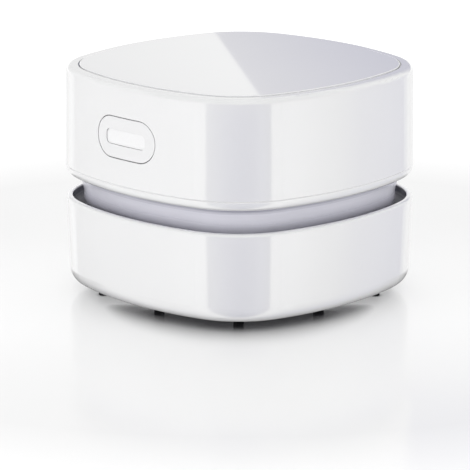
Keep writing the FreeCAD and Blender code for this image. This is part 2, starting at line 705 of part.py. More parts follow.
def block(body, x, y, low, high):
    """A box from x[0] to x[1], y[0] to y[1] and low to high."""
    pad(body, box(body, "XY", x, y, ("0", "0", low)), f"({high}) - ({low})")


def front_block(body, face, back, shape):
    """A piece that shares the front wall's bowed surface; shape draws it on the wall."""
    pad(body, outline(body, face, SEAM), "upper_height", draft="-upper_draft")
    behind = ("-2 * half_width", "2 * half_width"), (f"{back} - half_width", "2 * half_width")
    pocket(body, box(body, "XY", *behind, ("0", "0", SEAM)), "upper_height", back=True)
    around = shape(body, ("0", BUTTON_Z, "2 * half_width"))
    add_box(around, ("-2 * half_width", "2 * half_width"), ("-2 * upper_height", "2 * upper_height"))
    pocket(body, around, "2 * half_width")


def lead(body, plane, points, origin):
    """An insulated lead through right-angled corners in one plane; its first run is along Y."""
    path = new_sketch(body, plane, origin)
    bend = number("lead_bend")
    spots = [Vector(number(a), number(b), 0) for a, b in points]
    starts, ends = [], []
    for index, (here, there) in enumerate(zip(points, points[1:])):
        step = [f"({b}) - ({a})" for a, b in zip(here, there)]
        length = (spots[index + 1] - spots[index]).Length
        unit = [round((number(s)) / length) for s in step]
        first = 0 if index == 0 else 1
        last = 0 if index == len(points) - 2 else 1
        starts.append([f"{a} + {first * u} * lead_bend" for a, u in zip(here, unit)])
        ends.append([f"{a} - {last * u} * lead_bend" for a, u in zip(there, unit)])
    for index, (start, end) in enumerate(zip(starts, ends)):
        a = Vector(*(number(e) for e in start), 0)
        b = Vector(*(number(e) for e in end), 0)
        path.addGeometry(Part.LineSegment(a, b))
        place_point(path, index, 1, *start)
        place_point(path, index, 2, *end)
    for index, corner in enumerate(spots[1:-1]):
        come, leave = path.Geometry[index].EndPoint, path.Geometry[index + 1].StartPoint
        middle = come + leave - corner
        turns = [math.atan2(p.y - middle.y, p.x - middle.x) for p in (come, leave)]
        left = (turns[1] - turns[0]) % (2 * math.pi) < math.pi
        low = turns[0] if left else turns[1]
        circle = Part.Circle(middle, Vector(0, 0, 1), bend)
        arc = path.addGeometry(Part.ArcOfCircle(circle, low, low + math.pi / 2))
        path.addConstraint(Sketcher.Constraint("Coincident", arc, 1 if left else 2, index, 2))
        path.addConstraint(Sketcher.Constraint("Coincident", arc, 2 if left else 1, index + 1, 1))
        hold(path, "Radius", arc, value="lead_bend")
    x, y, z = origin
    u, v = points[0]
    across = {
        "XY": ("XZ", (f"({x}) + ({u})", z, f"-(({y}) + ({v}))")),
        "YZ": ("XZ", (z, f"({y}) + ({v})", f"-(({x}) + ({u}))")),
    }[plane]
    profile = circles(body, across[0], [("0", "0", "lead_radius")], across[1])
    doc.recompute()
    pipe = body.newObject("PartDesign::AdditivePipe", f"{body.Label}_pipe")
    pipe.Profile = profile
    pipe.Spine = (path, [f"Edge{i + 1}" for i in range(path.GeometryCount)])
    doc.recompute()


# ---------------------------------------------------------------- dust cup
def lower_shell():
    body = new_body("lower_shell")
    pad(body, outline(body, "0", RIM), "lower_height", back=True, draft="-lower_draft")
    fillet(body, on_outline("lower_height * tan(lower_draft)", BASE), "bottom_round")
    pocket(body, outline(body, "rim_wall", RIM), f"{RIM} - {FLOOR}", draft="-lower_draft")
    pocket(body, outline(body, "seat_inset", BASE), "base_flange", back=True)
    pocket(body, outline(body, "ledge_inset", BASE), f"{FLOOR} - {BASE}", back=True)
    fillet(body, on_outline("0", RIM), "rim_round")
    fillet(body, on_outline("rim_wall", RIM), "edge_round")


def dust_tray():
    body = new_body("dust_tray")
    inset = f"(rim_wall + tray_gap + ({RIM} - {FILTER_SEAT}) * tan(lower_draft))"
    pad(body, outline(body, inset, FILTER_SEAT), f"{FILTER_SEAT} - {FLOOR}", back=True, draft="-lower_draft")
    inner = f"{inset} + tray_wall + tray_deck * tan(lower_draft)"
    pocket(body, outline(body, inner, TRAY_DECK), f"{TRAY_DECK} - {FLOOR}", draft="-lower_draft")
    column(body, "collar_radius", FILTER_SEAT, COLLAR_TOP)
    for spot in corner_spots("base_screw_inset"):
        column(body, "boss_radius", SEAT, TRAY_DECK, spot)
        hole(body, "pilot_radius", SEAT, f"{TRAY_DECK} - edge_round", spot)
    hole(body, "collar_radius - collar_wall", FILTER_SEAT, COLLAR_TOP)
    hole(body, "collar_radius - collar_wall - filter_ledge", TRAY_DECK, FILTER_SEAT)
    groove(body, circles(body, "XZ", [(SEAL_REACH, SEAL_Z, "seal_section + seal_clear")]))


def collar_seal():
    body = new_body("collar_seal")
    revolve(body, circles(body, "XZ", [(SEAL_REACH, SEAL_Z, "seal_section")]))


def tuft_spots():
    """Where the bristle tufts stand: at two opposite corners, and two along each side."""
    spots = corner_spots("tuft_inset")[1::2]
    for turn, sign in (("tuft_turn", ""), ("tuft_far_turn", "-")):
        reach = outline_radius("tuft_inset", turn)
        along, out = f"{sign}{reach} * sin({turn})", f"{reach} * cos({turn})"
        back = f"-({along})"
        spots += [(along, f"-{out}"), (back, out), (out, back), (f"-{out}", along)]
    return spots


def base_plate():
    body = new_body("base_plate")
    pad(body, outline(body, "seat_inset + part_gap", BASE), "base_flange")
    column(body, "inlet_radius + chimney_wall", SEAT, f"{SEAT} + chimney_height")
    hole(body, "inlet_radius", BASE, f"{SEAT} + chimney_height")
    fillet(body, ring_at("inlet_radius", BASE), "inlet_flare")
    half, reach = "channel_width / 2", "half_width"
    for x, y in (((f"-{reach}", reach), (f"-{half}", half)), ((f"-{half}", half), (f"-{reach}", reach))):
        pocket(body, box(body, "XY", x, y, ("0", "0", BASE)), "channel_depth", back=True)
    for spot in corner_spots("base_screw_inset"):
        sink(body, (*spot, BASE), "base_flange", "+Z")
    for spot in tuft_spots():
        hole(body, "tuft_radius + running_gap", BASE, f"{BASE} + tuft_depth", spot)


def bristle_tufts():
    body = new_body("bristle_tufts", several=True)
    rings = [(x, y, "tuft_radius") for x, y in tuft_spots()]
    pad(body, circles(body, "XY", rings), f"{BASE} + tuft_depth")


def base_screws():
    body = new_body("base_screws", several=True)
    for spot in corner_spots("base_screw_inset"):
        screw(body, (*spot, BASE), "base_flange + screw_bite", "+Z")


def filter_frame():
    body = new_body("filter_frame")
    top = f"{FILTER_SEAT} + filter_height"
    low, high = f"{FILTER_SEAT} + filter_floor", f"{FILTER_SEAT} + filter_floor + media_thickness"
    ring(body, FILTER_RADIUS, f"{FILTER_RADIUS} - filter_rim", FILTER_SEAT, top)
    half, reach = "filter_bar / 2", f"({FILTER_RADIUS} - filter_rim / 2)"
    block(body, (f"-{reach}", reach), (f"-{half}", half), FILTER_SEAT, low)
    block(body, (f"-{half}", half), (f"-{reach}", reach), FILTER_SEAT, low)
    block(body, ("-tab_width / 2", "tab_width / 2"), (f"{reach} - tab_depth", reach), high, top)
    section = ("0", reach), (low, high)
    groove(body, box(body, "XZ", *section))


def filter_media():
    body = new_body("filter_media")
    low = f"{FILTER_SEAT} + filter_floor"
    column(body, f"{FILTER_RADIUS} - filter_rim / 2 - running_gap", low, f"{low} + media_thickness")


# ---------------------------------------------------------------- motor unit: shells and fan
def upper_shell():
    body = new_body("upper_shell")
    pad(body, outline(body, "0", SEAM), "upper_height", draft="-upper_draft")
    fillet(body, on_outline("upper_height * tan(upper_draft)", CROWN), "crown_round")
    chamfer(body, on_outline("0", SEAM), "seam_bevel")
    pocket(body, outline(body, "plate_inset - plate_gap", CROWN), f"{CROWN} - {RECESS}")
    pocket(body, outline(body, "shell_wall", SEAM), f"{CEILING} - {SEAM}", back=True, draft="-upper_draft")
    for spot in shell_spots():
        column(body, "boss_radius", CHASSIS_DECK, CEILING, spot)
        hole(body, "pilot_radius", CHASSIS_DECK, f"{CHASSIS_DECK} + screw_bite + boss_rise", spot)
    front = ("0", BUTTON_Z, GUIDE_FRONT)
    posts = [(*spot, "post_radius") for spot in guide_posts()]
    pad(body, circles(body, "XZ", posts, front), "guide_front - shell_wall + edge_round")
    pilots = [(*spot, "pilot_radius") for spot in guide_posts()]
    pocket(body, circles(body, "XZ", pilots, front), "screw_bite - edge_round", back=True)
    width, height = (f"button_{side} + 2 * button_gap" for side in ("width", "height"))
    pocket(body, stadium(body, "XZ", width, height, front), "half_width", back=True)
    port = rounded_box(
        body, "XZ", "socket_width + 2 * port_gap", "socket_height + 2 * port_gap", "port_corner + port_gap",
        ("0", PORT_Z, "-half_width - shell_wall"),
    )
    pocket(body, port, "3 * shell_wall", back=True)


def top_plate():
    body = new_body("top_plate")
    pad(body, outline(body, "plate_inset", RECESS), "plate_thickness")
    fillet(body, on_outline("plate_inset", f"{RECESS} + plate_thickness"), "edge_round")


def clip_block(body, low):
    """One clip of the battery's cradle, before its bore."""
    reach = "(cell_radius + clip_wall)"
    side = (f"{CELL_X} - {reach}", f"{CELL_X} + {reach}")
    block(body, side, (low, f"{low} + clip_width"), CHASSIS_DECK, f"{CELL_Z} + clip_rise")


def chassis():
    body = new_body("chassis")
    pad(body, outline(body, "0", SEAM), "lip_height", back=True)
    fillet(body, on_outline("0", LIP), "lip_round")
    chamfer(body, on_outline("0", SEAM), "seam_bevel")
    pad(body, outline(body, "shell_wall + part_gap", SEAM), "tongue_height")
    top = f"({SEAM} + tongue_height)"
    pocket(body, outline(body, "shell_wall + part_gap + tongue_wall", top), f"{top} - {CHASSIS_DECK}")
    column(body, MOTOR_POCKET, CHASSIS_DECK, f"{CHASSIS_DECK} + pocket_height")
    hole(body, f"{MOTOR_POCKET} - pocket_wall", CHASSIS_DECK, f"{CHASSIS_DECK} + pocket_height")
    hole(body, "bearing_radius + bearing_clear", LIP, CHASSIS_DECK)
    for low in ("clip_inner", "-(clip_inner + clip_width)"):
        clip_block(body, low)
    bore = circles(body, "XZ", [(CELL_X, CELL_Z, "cell_radius + cell_gap")], ("0", "0", "half_width"))
    pocket(body, bore, "2 * half_width")
    for spot in corner_spots("screw_inset"):
        column(body, "boss_radius", CHASSIS_DECK, f"{CHASSIS_DECK} + boss_rise", spot)
        hole(body, "pilot_radius", LIP, f"{CHASSIS_DECK} + boss_rise - edge_round", spot)
    for x in ("board_screw_x", "-board_screw_x"):
        column(body, "boss_radius", CHASSIS_DECK, BOARD_Z, (x, BOARD_SCREW_Y))
        hole(body, "pilot_radius", CHASSIS_DECK, BOARD_Z, (x, BOARD_SCREW_Y))
        column(body, "post_radius", CHASSIS_DECK, BOARD_Z, (x, f"{BOARD_FRONT} + post_radius"))
    for x in ("motor_screw_reach", "-motor_screw_reach"):
        sink(body, (x, "0", LIP), "deck_thickness", "+Z")
    for spot in shell_spots():
        sink(body, (*spot, LIP), "deck_thickness", "+Z")


def neck_stages():
    """Inset, top, height and draft of the flare, the straight wall and the foot of the neck."""
    stages = [
        ("neck_inset", "flare_inset", LIP, FLARE),
        ("flare_inset", "waist_inset", FLARE, WAIST),
        ("waist_inset", "cover_inset", WAIST, COVER_TOP),
    ]
    for inset, foot, top, bottom in stages:
        height = f"({top} - {bottom})"
        yield inset, top, height, f"-atan(({foot} - {inset}) / {height})"


def neck():
    body = new_body("neck")
    for inset, top, height, draft in neck_stages():
        pad(body, outline(body, inset, top), height, back=True, draft=draft)
    fillet(body, on_outline("flare_inset", FLARE), "flare_round")
    fillet(body, on_outline("waist_inset", WAIST), "waist_round")
    for inset, top, height, draft in neck_stages():
        pocket(body, outline(body, f"{inset} + neck_wall", top), height, draft=draft)
    for spot in corner_spots("screw_inset"):
        column(body, "boss_radius", COVER_TOP, LIP, spot)
        hole(body, "shank_radius + sink_gap", COVER_TOP, LIP, spot)
    low = f"{COVER_TOP} + slot_lift"
    for plane in ("XZ", "YZ"):
        sign = "" if plane == "XZ" else "-"
        slots = new_sketch(body, plane, ("0", "0", f"{sign}half_width"))
        for step in range(-5, 6):
            left = f"{step} * slot_pitch - slot_width / 2"
            add_box(slots, (left, f"{left} + slot_width"), (low, f"{low} + slot_height"))
        pocket(body, slots, "2 * half_width", back=plane == "YZ")


def fan_cover():
    body = new_body("fan_cover")
    pad(body, outline(body, "cover_inset", COLLAR_TOP), "cover_thickness")
    inner = "collar_radius + spigot_gap"
    ring(body, f"{inner} + spigot_wall", inner, f"{FILTER_SEAT} + spigot_stop", COLLAR_TOP)
    hole(body, "eye_radius", COLLAR_TOP, COVER_TOP)
    fillet(body, ring_at("eye_radius", COLLAR_TOP), "eye_round")
    for spot in corner_spots("screw_inset"):
        sink(body, (*spot, COLLAR_TOP), "cover_thickness", "+Z")


def cover_screws():
    body = new_body("cover_screws", several=True)
    for spot in corner_spots("screw_inset"):
        screw(body, (*spot, COLLAR_TOP), f"{CHASSIS_DECK} + cover_bite - {COLLAR_TOP}", "+Z")


def shell_screws():
    body = new_body("shell_screws", several=True)
    for spot in shell_spots():
        screw(body, (*spot, LIP), "deck_thickness + screw_bite", "+Z")


# ---------------------------------------------------------------- motor and fan wheel
def motor_can():
    body = new_body("motor_can")
    top = f"({MOTOR_TOP} - motor_cap)"
    column(body, "motor_radius", CHASSIS_DECK, top)
    hole(body, "motor_radius - can_wall", f"{CHASSIS_DECK} + can_wall", top)
    hole(body, "bearing_radius", CHASSIS_DECK, f"{CHASSIS_DECK} + can_wall")
    for x in ("motor_screw_reach", "-motor_screw_reach"):
        hole(body, "pilot_radius", CHASSIS_DECK, f"{CHASSIS_DECK} + can_wall", (x, "0"))


def motor_end_cap():
    body = new_body("motor_end_cap")
    column(body, "motor_radius", f"{MOTOR_TOP} - motor_cap", MOTOR_TOP)
    hole(body, "bearing_radius", f"{MOTOR_TOP} - motor_cap", MOTOR_TOP)


def motor_magnets():
    body = new_body("motor_magnets", several=True)
    outer = "motor_radius - can_wall - magnet_gap"
    low, high = f"{CHASSIS_DECK} + magnet_floor", f"{MOTOR_TOP} - magnet_top"
    ring(body, outer, f"{outer} - magnet_thickness", low, high)
    sides = ("-magnet_split / 2", "magnet_split / 2"), ("-motor_radius", "motor_radius")
    split = box(body, "XY", *sides, ("0", "0", low))
    pocket(body, split, f"{high} - ({low})", back=True)


def motor_bearings():
    body = new_body("motor_bearings", several=True)
    bore = "shaft_radius + running_gap"
    ring(body, "bearing_radius", bore, CHASSIS_DECK, f"{CHASSIS_DECK} + bearing_height")
    ring(body, "bearing_radius", bore, f"{MOTOR_TOP} - motor_cap", MOTOR_TOP)


def motor_terminals():
    body = new_body("motor_terminals", several=True)
    for x in ("terminal_x", "-terminal_x"):
        side = (f"{x} - terminal_thickness / 2", f"{x} + terminal_thickness / 2")
        front = ("-terminal_width / 2", "terminal_width / 2")
        block(body, side, front, MOTOR_TOP, f"{MOTOR_TOP} + terminal_height")


def motor_screws():
    body = new_body("motor_screws", several=True)
    for x in ("motor_screw_reach", "-motor_screw_reach"):
        screw(body, (x, "0", LIP), "deck_thickness + can_wall + edge_round", "+Z")


def motor_sleeve():
    body = new_body("motor_sleeve")
    inner = "motor_radius + sleeve_gap"
    top = f"{CHASSIS_DECK} + pocket_height + sleeve_proud"
    ring(body, f"{inner} + sleeve_wall", inner, CHASSIS_DECK, top)


def motor_shaft():
    body = new_body("motor_shaft")
    column(body, "shaft_radius", f"{IMPELLER} + hub_nose", f"{MOTOR_TOP} + shaft_proud")


def armature():
    body = new_body("armature")
    low, high = f"{CHASSIS_DECK} + rotor_floor", f"{MOTOR_TOP} - rotor_top"
    column(body, "rotor_radius", low, high)
    hole(body, "shaft_radius", low, high)
    sides = ("rotor_core", "2 * rotor_radius"), ("-rotor_slot / 2", "rotor_slot / 2")
    slot = box(body, "XY", *sides, ("0", "0", low))
    cut = pocket(body, slot, f"({high}) - ({low})", back=True)
    round_pattern(body, [cut], 3)


def commutator():
    body = new_body("commutator")
    low = f"{MOTOR_TOP} - commutator_floor"
    ring(body, "commutator_radius", "shaft_radius", low, f"{low} + commutator_height")


def impeller():
    body = new_body("impeller")
    top = f"({IMPELLER_BACK} + impeller_back)"
    column(body, "impeller_radius", IMPELLER_BACK, top)
    column(body, "hub_radius", IMPELLER, f"{top} + hub_rise")
    hole(body, "shaft_radius", f"{IMPELLER} + hub_nose", f"{top} + hub_rise")
    blades = [pad(body, blade_sketch(body, IMPELLER), "blade_height")]
    round_pattern(body, blades, 9)


def blade_sketch(body, height):
    """One backward-swept blade between two arcs, from near the hub to the wheel's rim."""
    sketch = new_sketch(body, "XY", ("0", "0", height))
    inner, outer = number("blade_inner"), number("impeller_radius - edge_round")
    outside, inside = number("blade_radius"), number("blade_radius - blade_thickness")
    up = Vector(0, 0, 1)
    centre = Vector(*(number(e) for e in BLADE_CENTRE), 0)

    def crossing(radius, about):
        far = centre.Length
        along = (far**2 + radius**2 - about**2) / (2 * far)
        turn = math.atan2(centre.y, centre.x) + math.acos(along / radius)
        return Vector(radius * math.cos(turn), radius * math.sin(turn), 0)

    pairs = [(inner, outside), (outer, outside), (outer, inside), (inner, inside)]
    ends = [crossing(*pair) for pair in pairs]
    angles = [math.atan2(p.y - centre.y, p.x - centre.x) for p in ends]
    for radius, pair in ((outside, angles[:2]), (inside, (angles[3], angles[2]))):
        low, high = min(pair), max(pair)
        sketch.addGeometry(Part.ArcOfCircle(Part.Circle(centre, up, radius), low, high))
    sketch.addGeometry(Part.LineSegment(ends[0], ends[3]))
    sketch.addGeometry(Part.LineSegment(ends[1], ends[2]))
    sketch.addGeometry(Part.Circle(Vector(), up, inner), True)
    sketch.addGeometry(Part.Circle(Vector(), up, outer), True)
    start, end = (1, 2) if angles[0] < angles[1] else (2, 1)
    for arc, line_end in ((0, 1), (1, 2)):
        sketch.addConstraint(Sketcher.Constraint("Coincident", 2, line_end, arc, start))
        sketch.addConstraint(Sketcher.Constraint("Coincident", 3, line_end, arc, end))
        sketch.addConstraint(Sketcher.Constraint("PointOnObject", arc, start, 4))
        sketch.addConstraint(Sketcher.Constraint("PointOnObject", arc, end, 5))
    place_point(sketch, 0, 3, *BLADE_CENTRE)
    sketch.addConstraint(Sketcher.Constraint("Coincident", 0, 3, 1, 3))
    for circle in (4, 5):
        sketch.addConstraint(Sketcher.Constraint("Coincident", circle, 3, -1, 1))
    radii = ("blade_radius", "blade_radius - blade_thickness")
    for index, value in zip((0, 1, 4, 5), (*radii, "blade_inner", "impeller_radius - edge_round")):
        hold(sketch, "Radius", index, value=value)
    return sketch


# ---------------------------------------------------------------- battery, boards and leads
def battery_cell():
    body = new_body("battery_cell")
    back = ("0", "0", "-cell_length / 2")
    pad(body, circles(body, "XZ", [(CELL_X, CELL_Z, "cell_radius")], back), "cell_length")
    front = [(CELL_X, CELL_Z, "cap_radius")]
    pad(body, circles(body, "XZ", front, ("0", "0", "-cell_length / 2 - cell_cap")), "cell_cap")


def charge_board():
    body = new_body("charge_board")
    block(body, ("-board_half_width", "board_half_width"), (BOARD_FRONT, BOARD_BACK), BOARD_Z, BOARD_TOP)
    for x in ("board_screw_x", "-board_screw_x"):
        sink(body, (x, BOARD_SCREW_Y, BOARD_TOP), "board_thickness", "-Z")


def board_screws():
    body = new_body("board_screws", several=True)
    for x in ("board_screw_x", "-board_screw_x"):
        screw(body, (x, BOARD_SCREW_Y, BOARD_TOP), "board_thickness + board_lift - edge_round", "-Z")


def board_parts():
    body = new_body("board_parts", several=True)
    for x, y, width, depth, height in (
        ("0", "chip_y", "chip_side", "chip_side", "chip_height"),
        ("-inductor_x", "inductor_y", "inductor_side", "inductor_side", "inductor_height"),
        ("-capacitor_x", "capacitor_y", "capacitor_width", "capacitor_depth", "capacitor_height"),
        ("capacitor_x", "capacitor_y", "capacitor_width", "capacitor_depth", "capacitor_height"),
    ):
        middle = f"{BOARD_FRONT} + {y}"
        side = (f"{x} - {width} / 2", f"{x} + {width} / 2")
        front = (f"{middle} - {depth} / 2", f"{middle} + {depth} / 2")
        block(body, side, front, BOARD_TOP, f"{BOARD_TOP} + {height}")


def usb_socket():
    body = new_body("usb_socket")
    mouth = ("0", PORT_Z, "socket_setback - half_width")
    pad(body, rounded_box(body, "XZ", "socket_width", "socket_height", "port_corner", mouth), "socket_depth")
    thin = ("socket_width - 2 * socket_wall", "socket_height - 2 * socket_wall", "port_corner - socket_wall")
    pocket(body, rounded_box(body, "XZ", *thin, mouth), "socket_depth - port_floor", back=True)


def usb_tongue():
    body = new_body("usb_tongue")
    back = ("0", PORT_Z, "socket_setback + socket_depth - port_floor - half_width")
    size = ("tongue_width", "tongue_thickness", "socket_wall")
    pad(body, rounded_box(body, "XZ", *size, back), "tongue_length", back=True)


def button_guide():
    body = new_body("button_guide")
    rear = ("0", BUTTON_Z, GUIDE_BACK)
    pad(body, rounded_box(body, "XZ", GUIDE_WIDTH, GUIDE_HEIGHT, "post_radius", rear), "guide_thickness")
    board = ("0", BUTTON_Z, SWITCH_BOARD)
    run = f"{GUIDE_BACK} - {SWITCH_BOARD}"
    pad(body, circles(body, "XZ", [(*spot, "post_radius") for spot in guide_posts()], board), run)
    holes = [(*spot, "shank_radius + sink_gap") for spot in guide_posts()]
    holes += [("0", "0", "stem_radius + slide_gap")]
    holes += [(x, "0", "light_radius + slide_gap") for x in ("light_x", "-light_x")]
    pocket(body, circles(body, "XZ", holes, board), f"{run} + guide_thickness", back=True)


def switch_board():
    body = new_body("switch_board")
    rear = ("0", BUTTON_Z, SWITCH_BOARD_BACK)
    pad(body, rounded_box(body, "XZ", GUIDE_WIDTH, GUIDE_HEIGHT, "post_radius", rear), "board_thickness")
    for x, z in guide_posts():
        sink(body, (x, f"-{SWITCH_BOARD_BACK}", f"{BUTTON_Z} + {z}"), "board_thickness", "-Y")


def button_screws():
    body = new_body("button_screws", several=True)
    run = f"{GUIDE_FRONT} - {SWITCH_BOARD_BACK} + screw_bite - 2 * edge_round"
    for x, z in guide_posts():
        screw(body, (x, f"-{SWITCH_BOARD_BACK}", f"{BUTTON_Z} + {z}"), run, "-Y")


def tact_switch():
    body = new_body("tact_switch")
    foot = ("0", BUTTON_Z, SWITCH_BOARD)
    pad(body, rounded_box(body, "XZ", "switch_side", "switch_side", "edge_round", foot), "switch_depth")
    well = circles(body, "XZ", [("0", "0", "plunger_radius + slide_gap")], ("0", BUTTON_Z, SWITCH_FACE))
    pocket(body, well, "switch_depth - switch_floor")


def switch_plunger():
    body = new_body("switch_plunger")
    front = ("0", BUTTON_Z, PLUNGER)
    run = "button_travel + plunger_rest + plunger_grip"
    pad(body, circles(body, "XZ", [("0", "0", "plunger_radius")], front), run, back=True)


def indicator_leds():
    body = new_body("indicator_leds", several=True)
    for x in ("light_x", "-light_x"):
        place = (x, BUTTON_Z, SWITCH_BOARD)
        chip = rounded_box(body, "XZ", "light_chip_width", "light_chip_height", "light_chip_corner", place)
        pad(body, chip, "light_chip_depth")


def power_button():
    body = new_body("power_button")
    front_block(
        body,
        "button_sink",
        FLANGE,
        lambda b, at: stadium(b, "XZ", "button_width", "button_height", at),
    )
    rear = ("0", BUTTON_Z, f"half_width - {FLANGE} - flange_thickness")
    wide, tall = "button_width + 2 * flange_reach", "button_height + 2 * flange_reach"
    pad(body, stadium(body, "XZ", wide, tall, rear), "flange_thickness")
    pad(body, circles(body, "XZ", [("0", "0", "stem_radius")], rear), "stem_length", back=True)
    deep = ("0", BUTTON_Z, "half_width - button_sink - lens_depth")
    shape = ("lens_width + 2 * lens_gap", "lens_height + 2 * lens_gap", "lens_corner + lens_gap")
    pocket(body, rounded_box(body, "XZ", *shape, deep), "half_width", back=True)
    lights = [(x, "0", "light_radius") for x in ("light_x", "-light_x")]
    pocket(body, circles(body, "XZ", lights, rear), "half_width", back=True)


def button_lens():
    body = new_body("button_lens")
    front_block(
        body,
        "button_sink + lens_sink",
        "button_sink + lens_depth",
        lambda b, at: rounded_box(b, "XZ", "lens_width", "lens_height", "lens_corner", at),
    )


def button_spring():
    body = new_body("button_spring")
    start = f"-(half_width - {FLANGE} - flange_thickness) + spring_wire"
    run = f"guide_front - {FLANGE} - flange_thickness - 2 * spring_wire"
    coil = circles(body, "XY", [("spring_radius", start, "spring_wire")], ("0", "0", BUTTON_Z))
    doc.recompute()
    helix = body.newObject("PartDesign::AdditiveHelix", "button_spring_coil")
    helix.Profile = coil
    helix.ReferenceAxis = (coil, ["V_Axis"])
    helix.Mode = "height-turns-angle"
    bind(helix, "Height", run)
    bind(helix, "Turns", "spring_turns")
    doc.recompute()


def battery_leads():
    body = new_body("battery_leads", several=True)
    level = ("0", "0", f"{BOARD_TOP} + lead_radius")
    end = "cell_length / 2"
    rear = f"{BOARD_FRONT} + lead_pad"
    side = f"{CELL_X} - lead_side"
    lead(body, "XY", [(side, end), (side, rear), ("lead_inset - board_half_width", rear)], level)
    turn = f"-({SWITCH_BOARD_BACK} - lead_drop)"
    side = f"lead_post - {POST_X}"
    points = [(CELL_X, f"-{end}"), (CELL_X, turn), (side, turn), (side, f"-{SWITCH_BOARD_BACK}")]
    lead(body, "XY", points, level)


def motor_leads():
    body = new_body("motor_leads", several=True)
    level = f"{MOTOR_TOP} + terminal_lead"
    front, back = f"-({SWITCH_BOARD_BACK} - motor_lead_drop)", f"{BOARD_FRONT} + motor_pad"
    low = f"{BUTTON_Z} + motor_lead_rise"
    points = [("-terminal_width / 2", level), (front, level), (front, low), (f"-{SWITCH_BOARD_BACK}", low)]
    lead(body, "YZ", points, ("0", "0", "-terminal_x"))
    points = [("terminal_width / 2", level), (back, level), (back, BOARD_TOP)]
    lead(body, "YZ", points, ("0", "0", "terminal_x"))


def switch_leads():
    body = new_body("switch_leads")
    level = ("0", "0", f"{BOARD_TOP} + lead_radius")
    rear = f"{BOARD_FRONT} + lead_pad"
    turn, side = f"-({SWITCH_BOARD_BACK} - lead_drop)", "shell_screw_x"
    start, finish = f"{POST_X} - lead_post", "board_half_width - lead_inset"
    points = [(start, f"-{SWITCH_BOARD_BACK}"), (start, turn), (side, turn), (side, rear), (finish, rear)]
    lead(body, "XY", points, level)


# ---------------------------------------------------------------- build and export
SUB_PARTS = [
    lower_shell, dust_tray, collar_seal, base_plate, bristle_tufts, base_screws, filter_frame, filter_media,
    upper_shell, top_plate, chassis, neck, fan_cover, cover_screws, shell_screws,
    motor_can, motor_end_cap, motor_magnets, motor_bearings, motor_terminals, motor_screws, motor_sleeve,
    motor_shaft, armature, commutator, impeller,
    battery_cell, charge_board, board_screws, board_parts, usb_socket, usb_tongue,
    button_guide, switch_board, button_screws, tact_switch, switch_plunger, indicator_leds,
    power_button, button_lens, button_spring, battery_leads, motor_leads, switch_leads,
]
for make in SUB_PARTS:
    make()
doc.recompute()

os.makedirs("parts", exist_ok=True)
bodies = [item for item in doc.Objects if item.isDerivedFrom("PartDesign::Body")]
for item in doc.Objects:
    if {"Invalid", "Error"} & set(item.State):
        raise RuntimeError(f"{item.Name} did not build")
for body in bodies:
    if body.Shape.isNull() or not body.Shape.isValid() or not body.Shape.Solids:
        raise RuntimeError(f"{body.Label} is not a valid solid")
    body.Shape.exportStep(f"parts/{body.Label}.step")
print(f"{len(bodies)} sub-parts, {sum(len(body.Shape.Solids) for body in bodies)} solids")
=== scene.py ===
# %% [markdown]
# # A desktop mini vacuum cleaner
# Two glossy white shells with a grey neck between them stand on ten little brushes. The shapes of
# the mouldings come from the construction model, which loads below with every part already in its
# place. What is left to do is the work of a finisher: the camera, the light, every surface, and the
# soft and fibrous pieces that a construction model only holds a place for.

# %% Load the cleaner
import bmesh
import bpy
import math
import random
from mathutils import Matrix, Vector


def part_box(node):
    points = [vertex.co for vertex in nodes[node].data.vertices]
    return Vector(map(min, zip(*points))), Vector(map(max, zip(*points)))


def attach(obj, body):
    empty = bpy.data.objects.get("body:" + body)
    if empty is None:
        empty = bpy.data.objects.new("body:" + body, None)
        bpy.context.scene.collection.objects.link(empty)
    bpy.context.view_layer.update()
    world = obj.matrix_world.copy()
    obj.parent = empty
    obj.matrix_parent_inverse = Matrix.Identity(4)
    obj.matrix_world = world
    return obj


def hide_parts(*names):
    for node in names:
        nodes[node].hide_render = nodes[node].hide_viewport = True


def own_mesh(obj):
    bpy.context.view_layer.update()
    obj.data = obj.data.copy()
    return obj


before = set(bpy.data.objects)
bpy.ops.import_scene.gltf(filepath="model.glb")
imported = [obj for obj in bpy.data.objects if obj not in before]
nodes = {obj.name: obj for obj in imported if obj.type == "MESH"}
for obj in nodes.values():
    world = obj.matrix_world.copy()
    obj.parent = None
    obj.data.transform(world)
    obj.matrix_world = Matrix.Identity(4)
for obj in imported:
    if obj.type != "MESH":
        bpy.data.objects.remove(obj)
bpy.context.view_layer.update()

# %% [markdown]
# ## Camera
# A product portrait of a small thing is taken from well back with a long lens, so that its sides
# stay upright and its corners stay calm. A short lens close by would give the same size in the
# picture, and bend the shells. The camera looks at the corner between the button and the right
# flank, from a little above.

# %% The camera, aimed close to the middle of the cleaner
AZIMUTH = math.radians(45.48)
ELEVATION = math.radians(14.32)
DISTANCE = 0.910
AIM_HEIGHT = 0.0142
AIM_SHIFT = 0.001194
LENS_LENGTH = 265.3
SENSOR_WIDTH = 36
near = Vector((math.sin(AZIMUTH), -math.cos(AZIMUTH), 0))
right = Vector((math.cos(AZIMUTH), math.sin(AZIMUTH), 0))
back = near * math.cos(ELEVATION) + Vector((0, 0, math.sin(ELEVATION)))
camera_data = bpy.data.cameras.new("portrait_lens")
camera_data.lens = LENS_LENGTH
camera_data.sensor_width = SENSOR_WIDTH
camera = bpy.data.objects.new("portrait_camera", camera_data)
bpy.context.scene.collection.objects.link(camera)
camera.location = Vector((0, 0, AIM_HEIGHT)) - AIM_SHIFT * right + DISTANCE * back
camera.rotation_mode = "QUATERNION"
camera.rotation_quaternion = (-back).to_track_quat("-Z", "Y")
bpy.context.scene.camera = camera
bpy.context.scene.view_settings.view_transform = "Standard"
print("camera at", [round(part, 3) for part in camera.location])

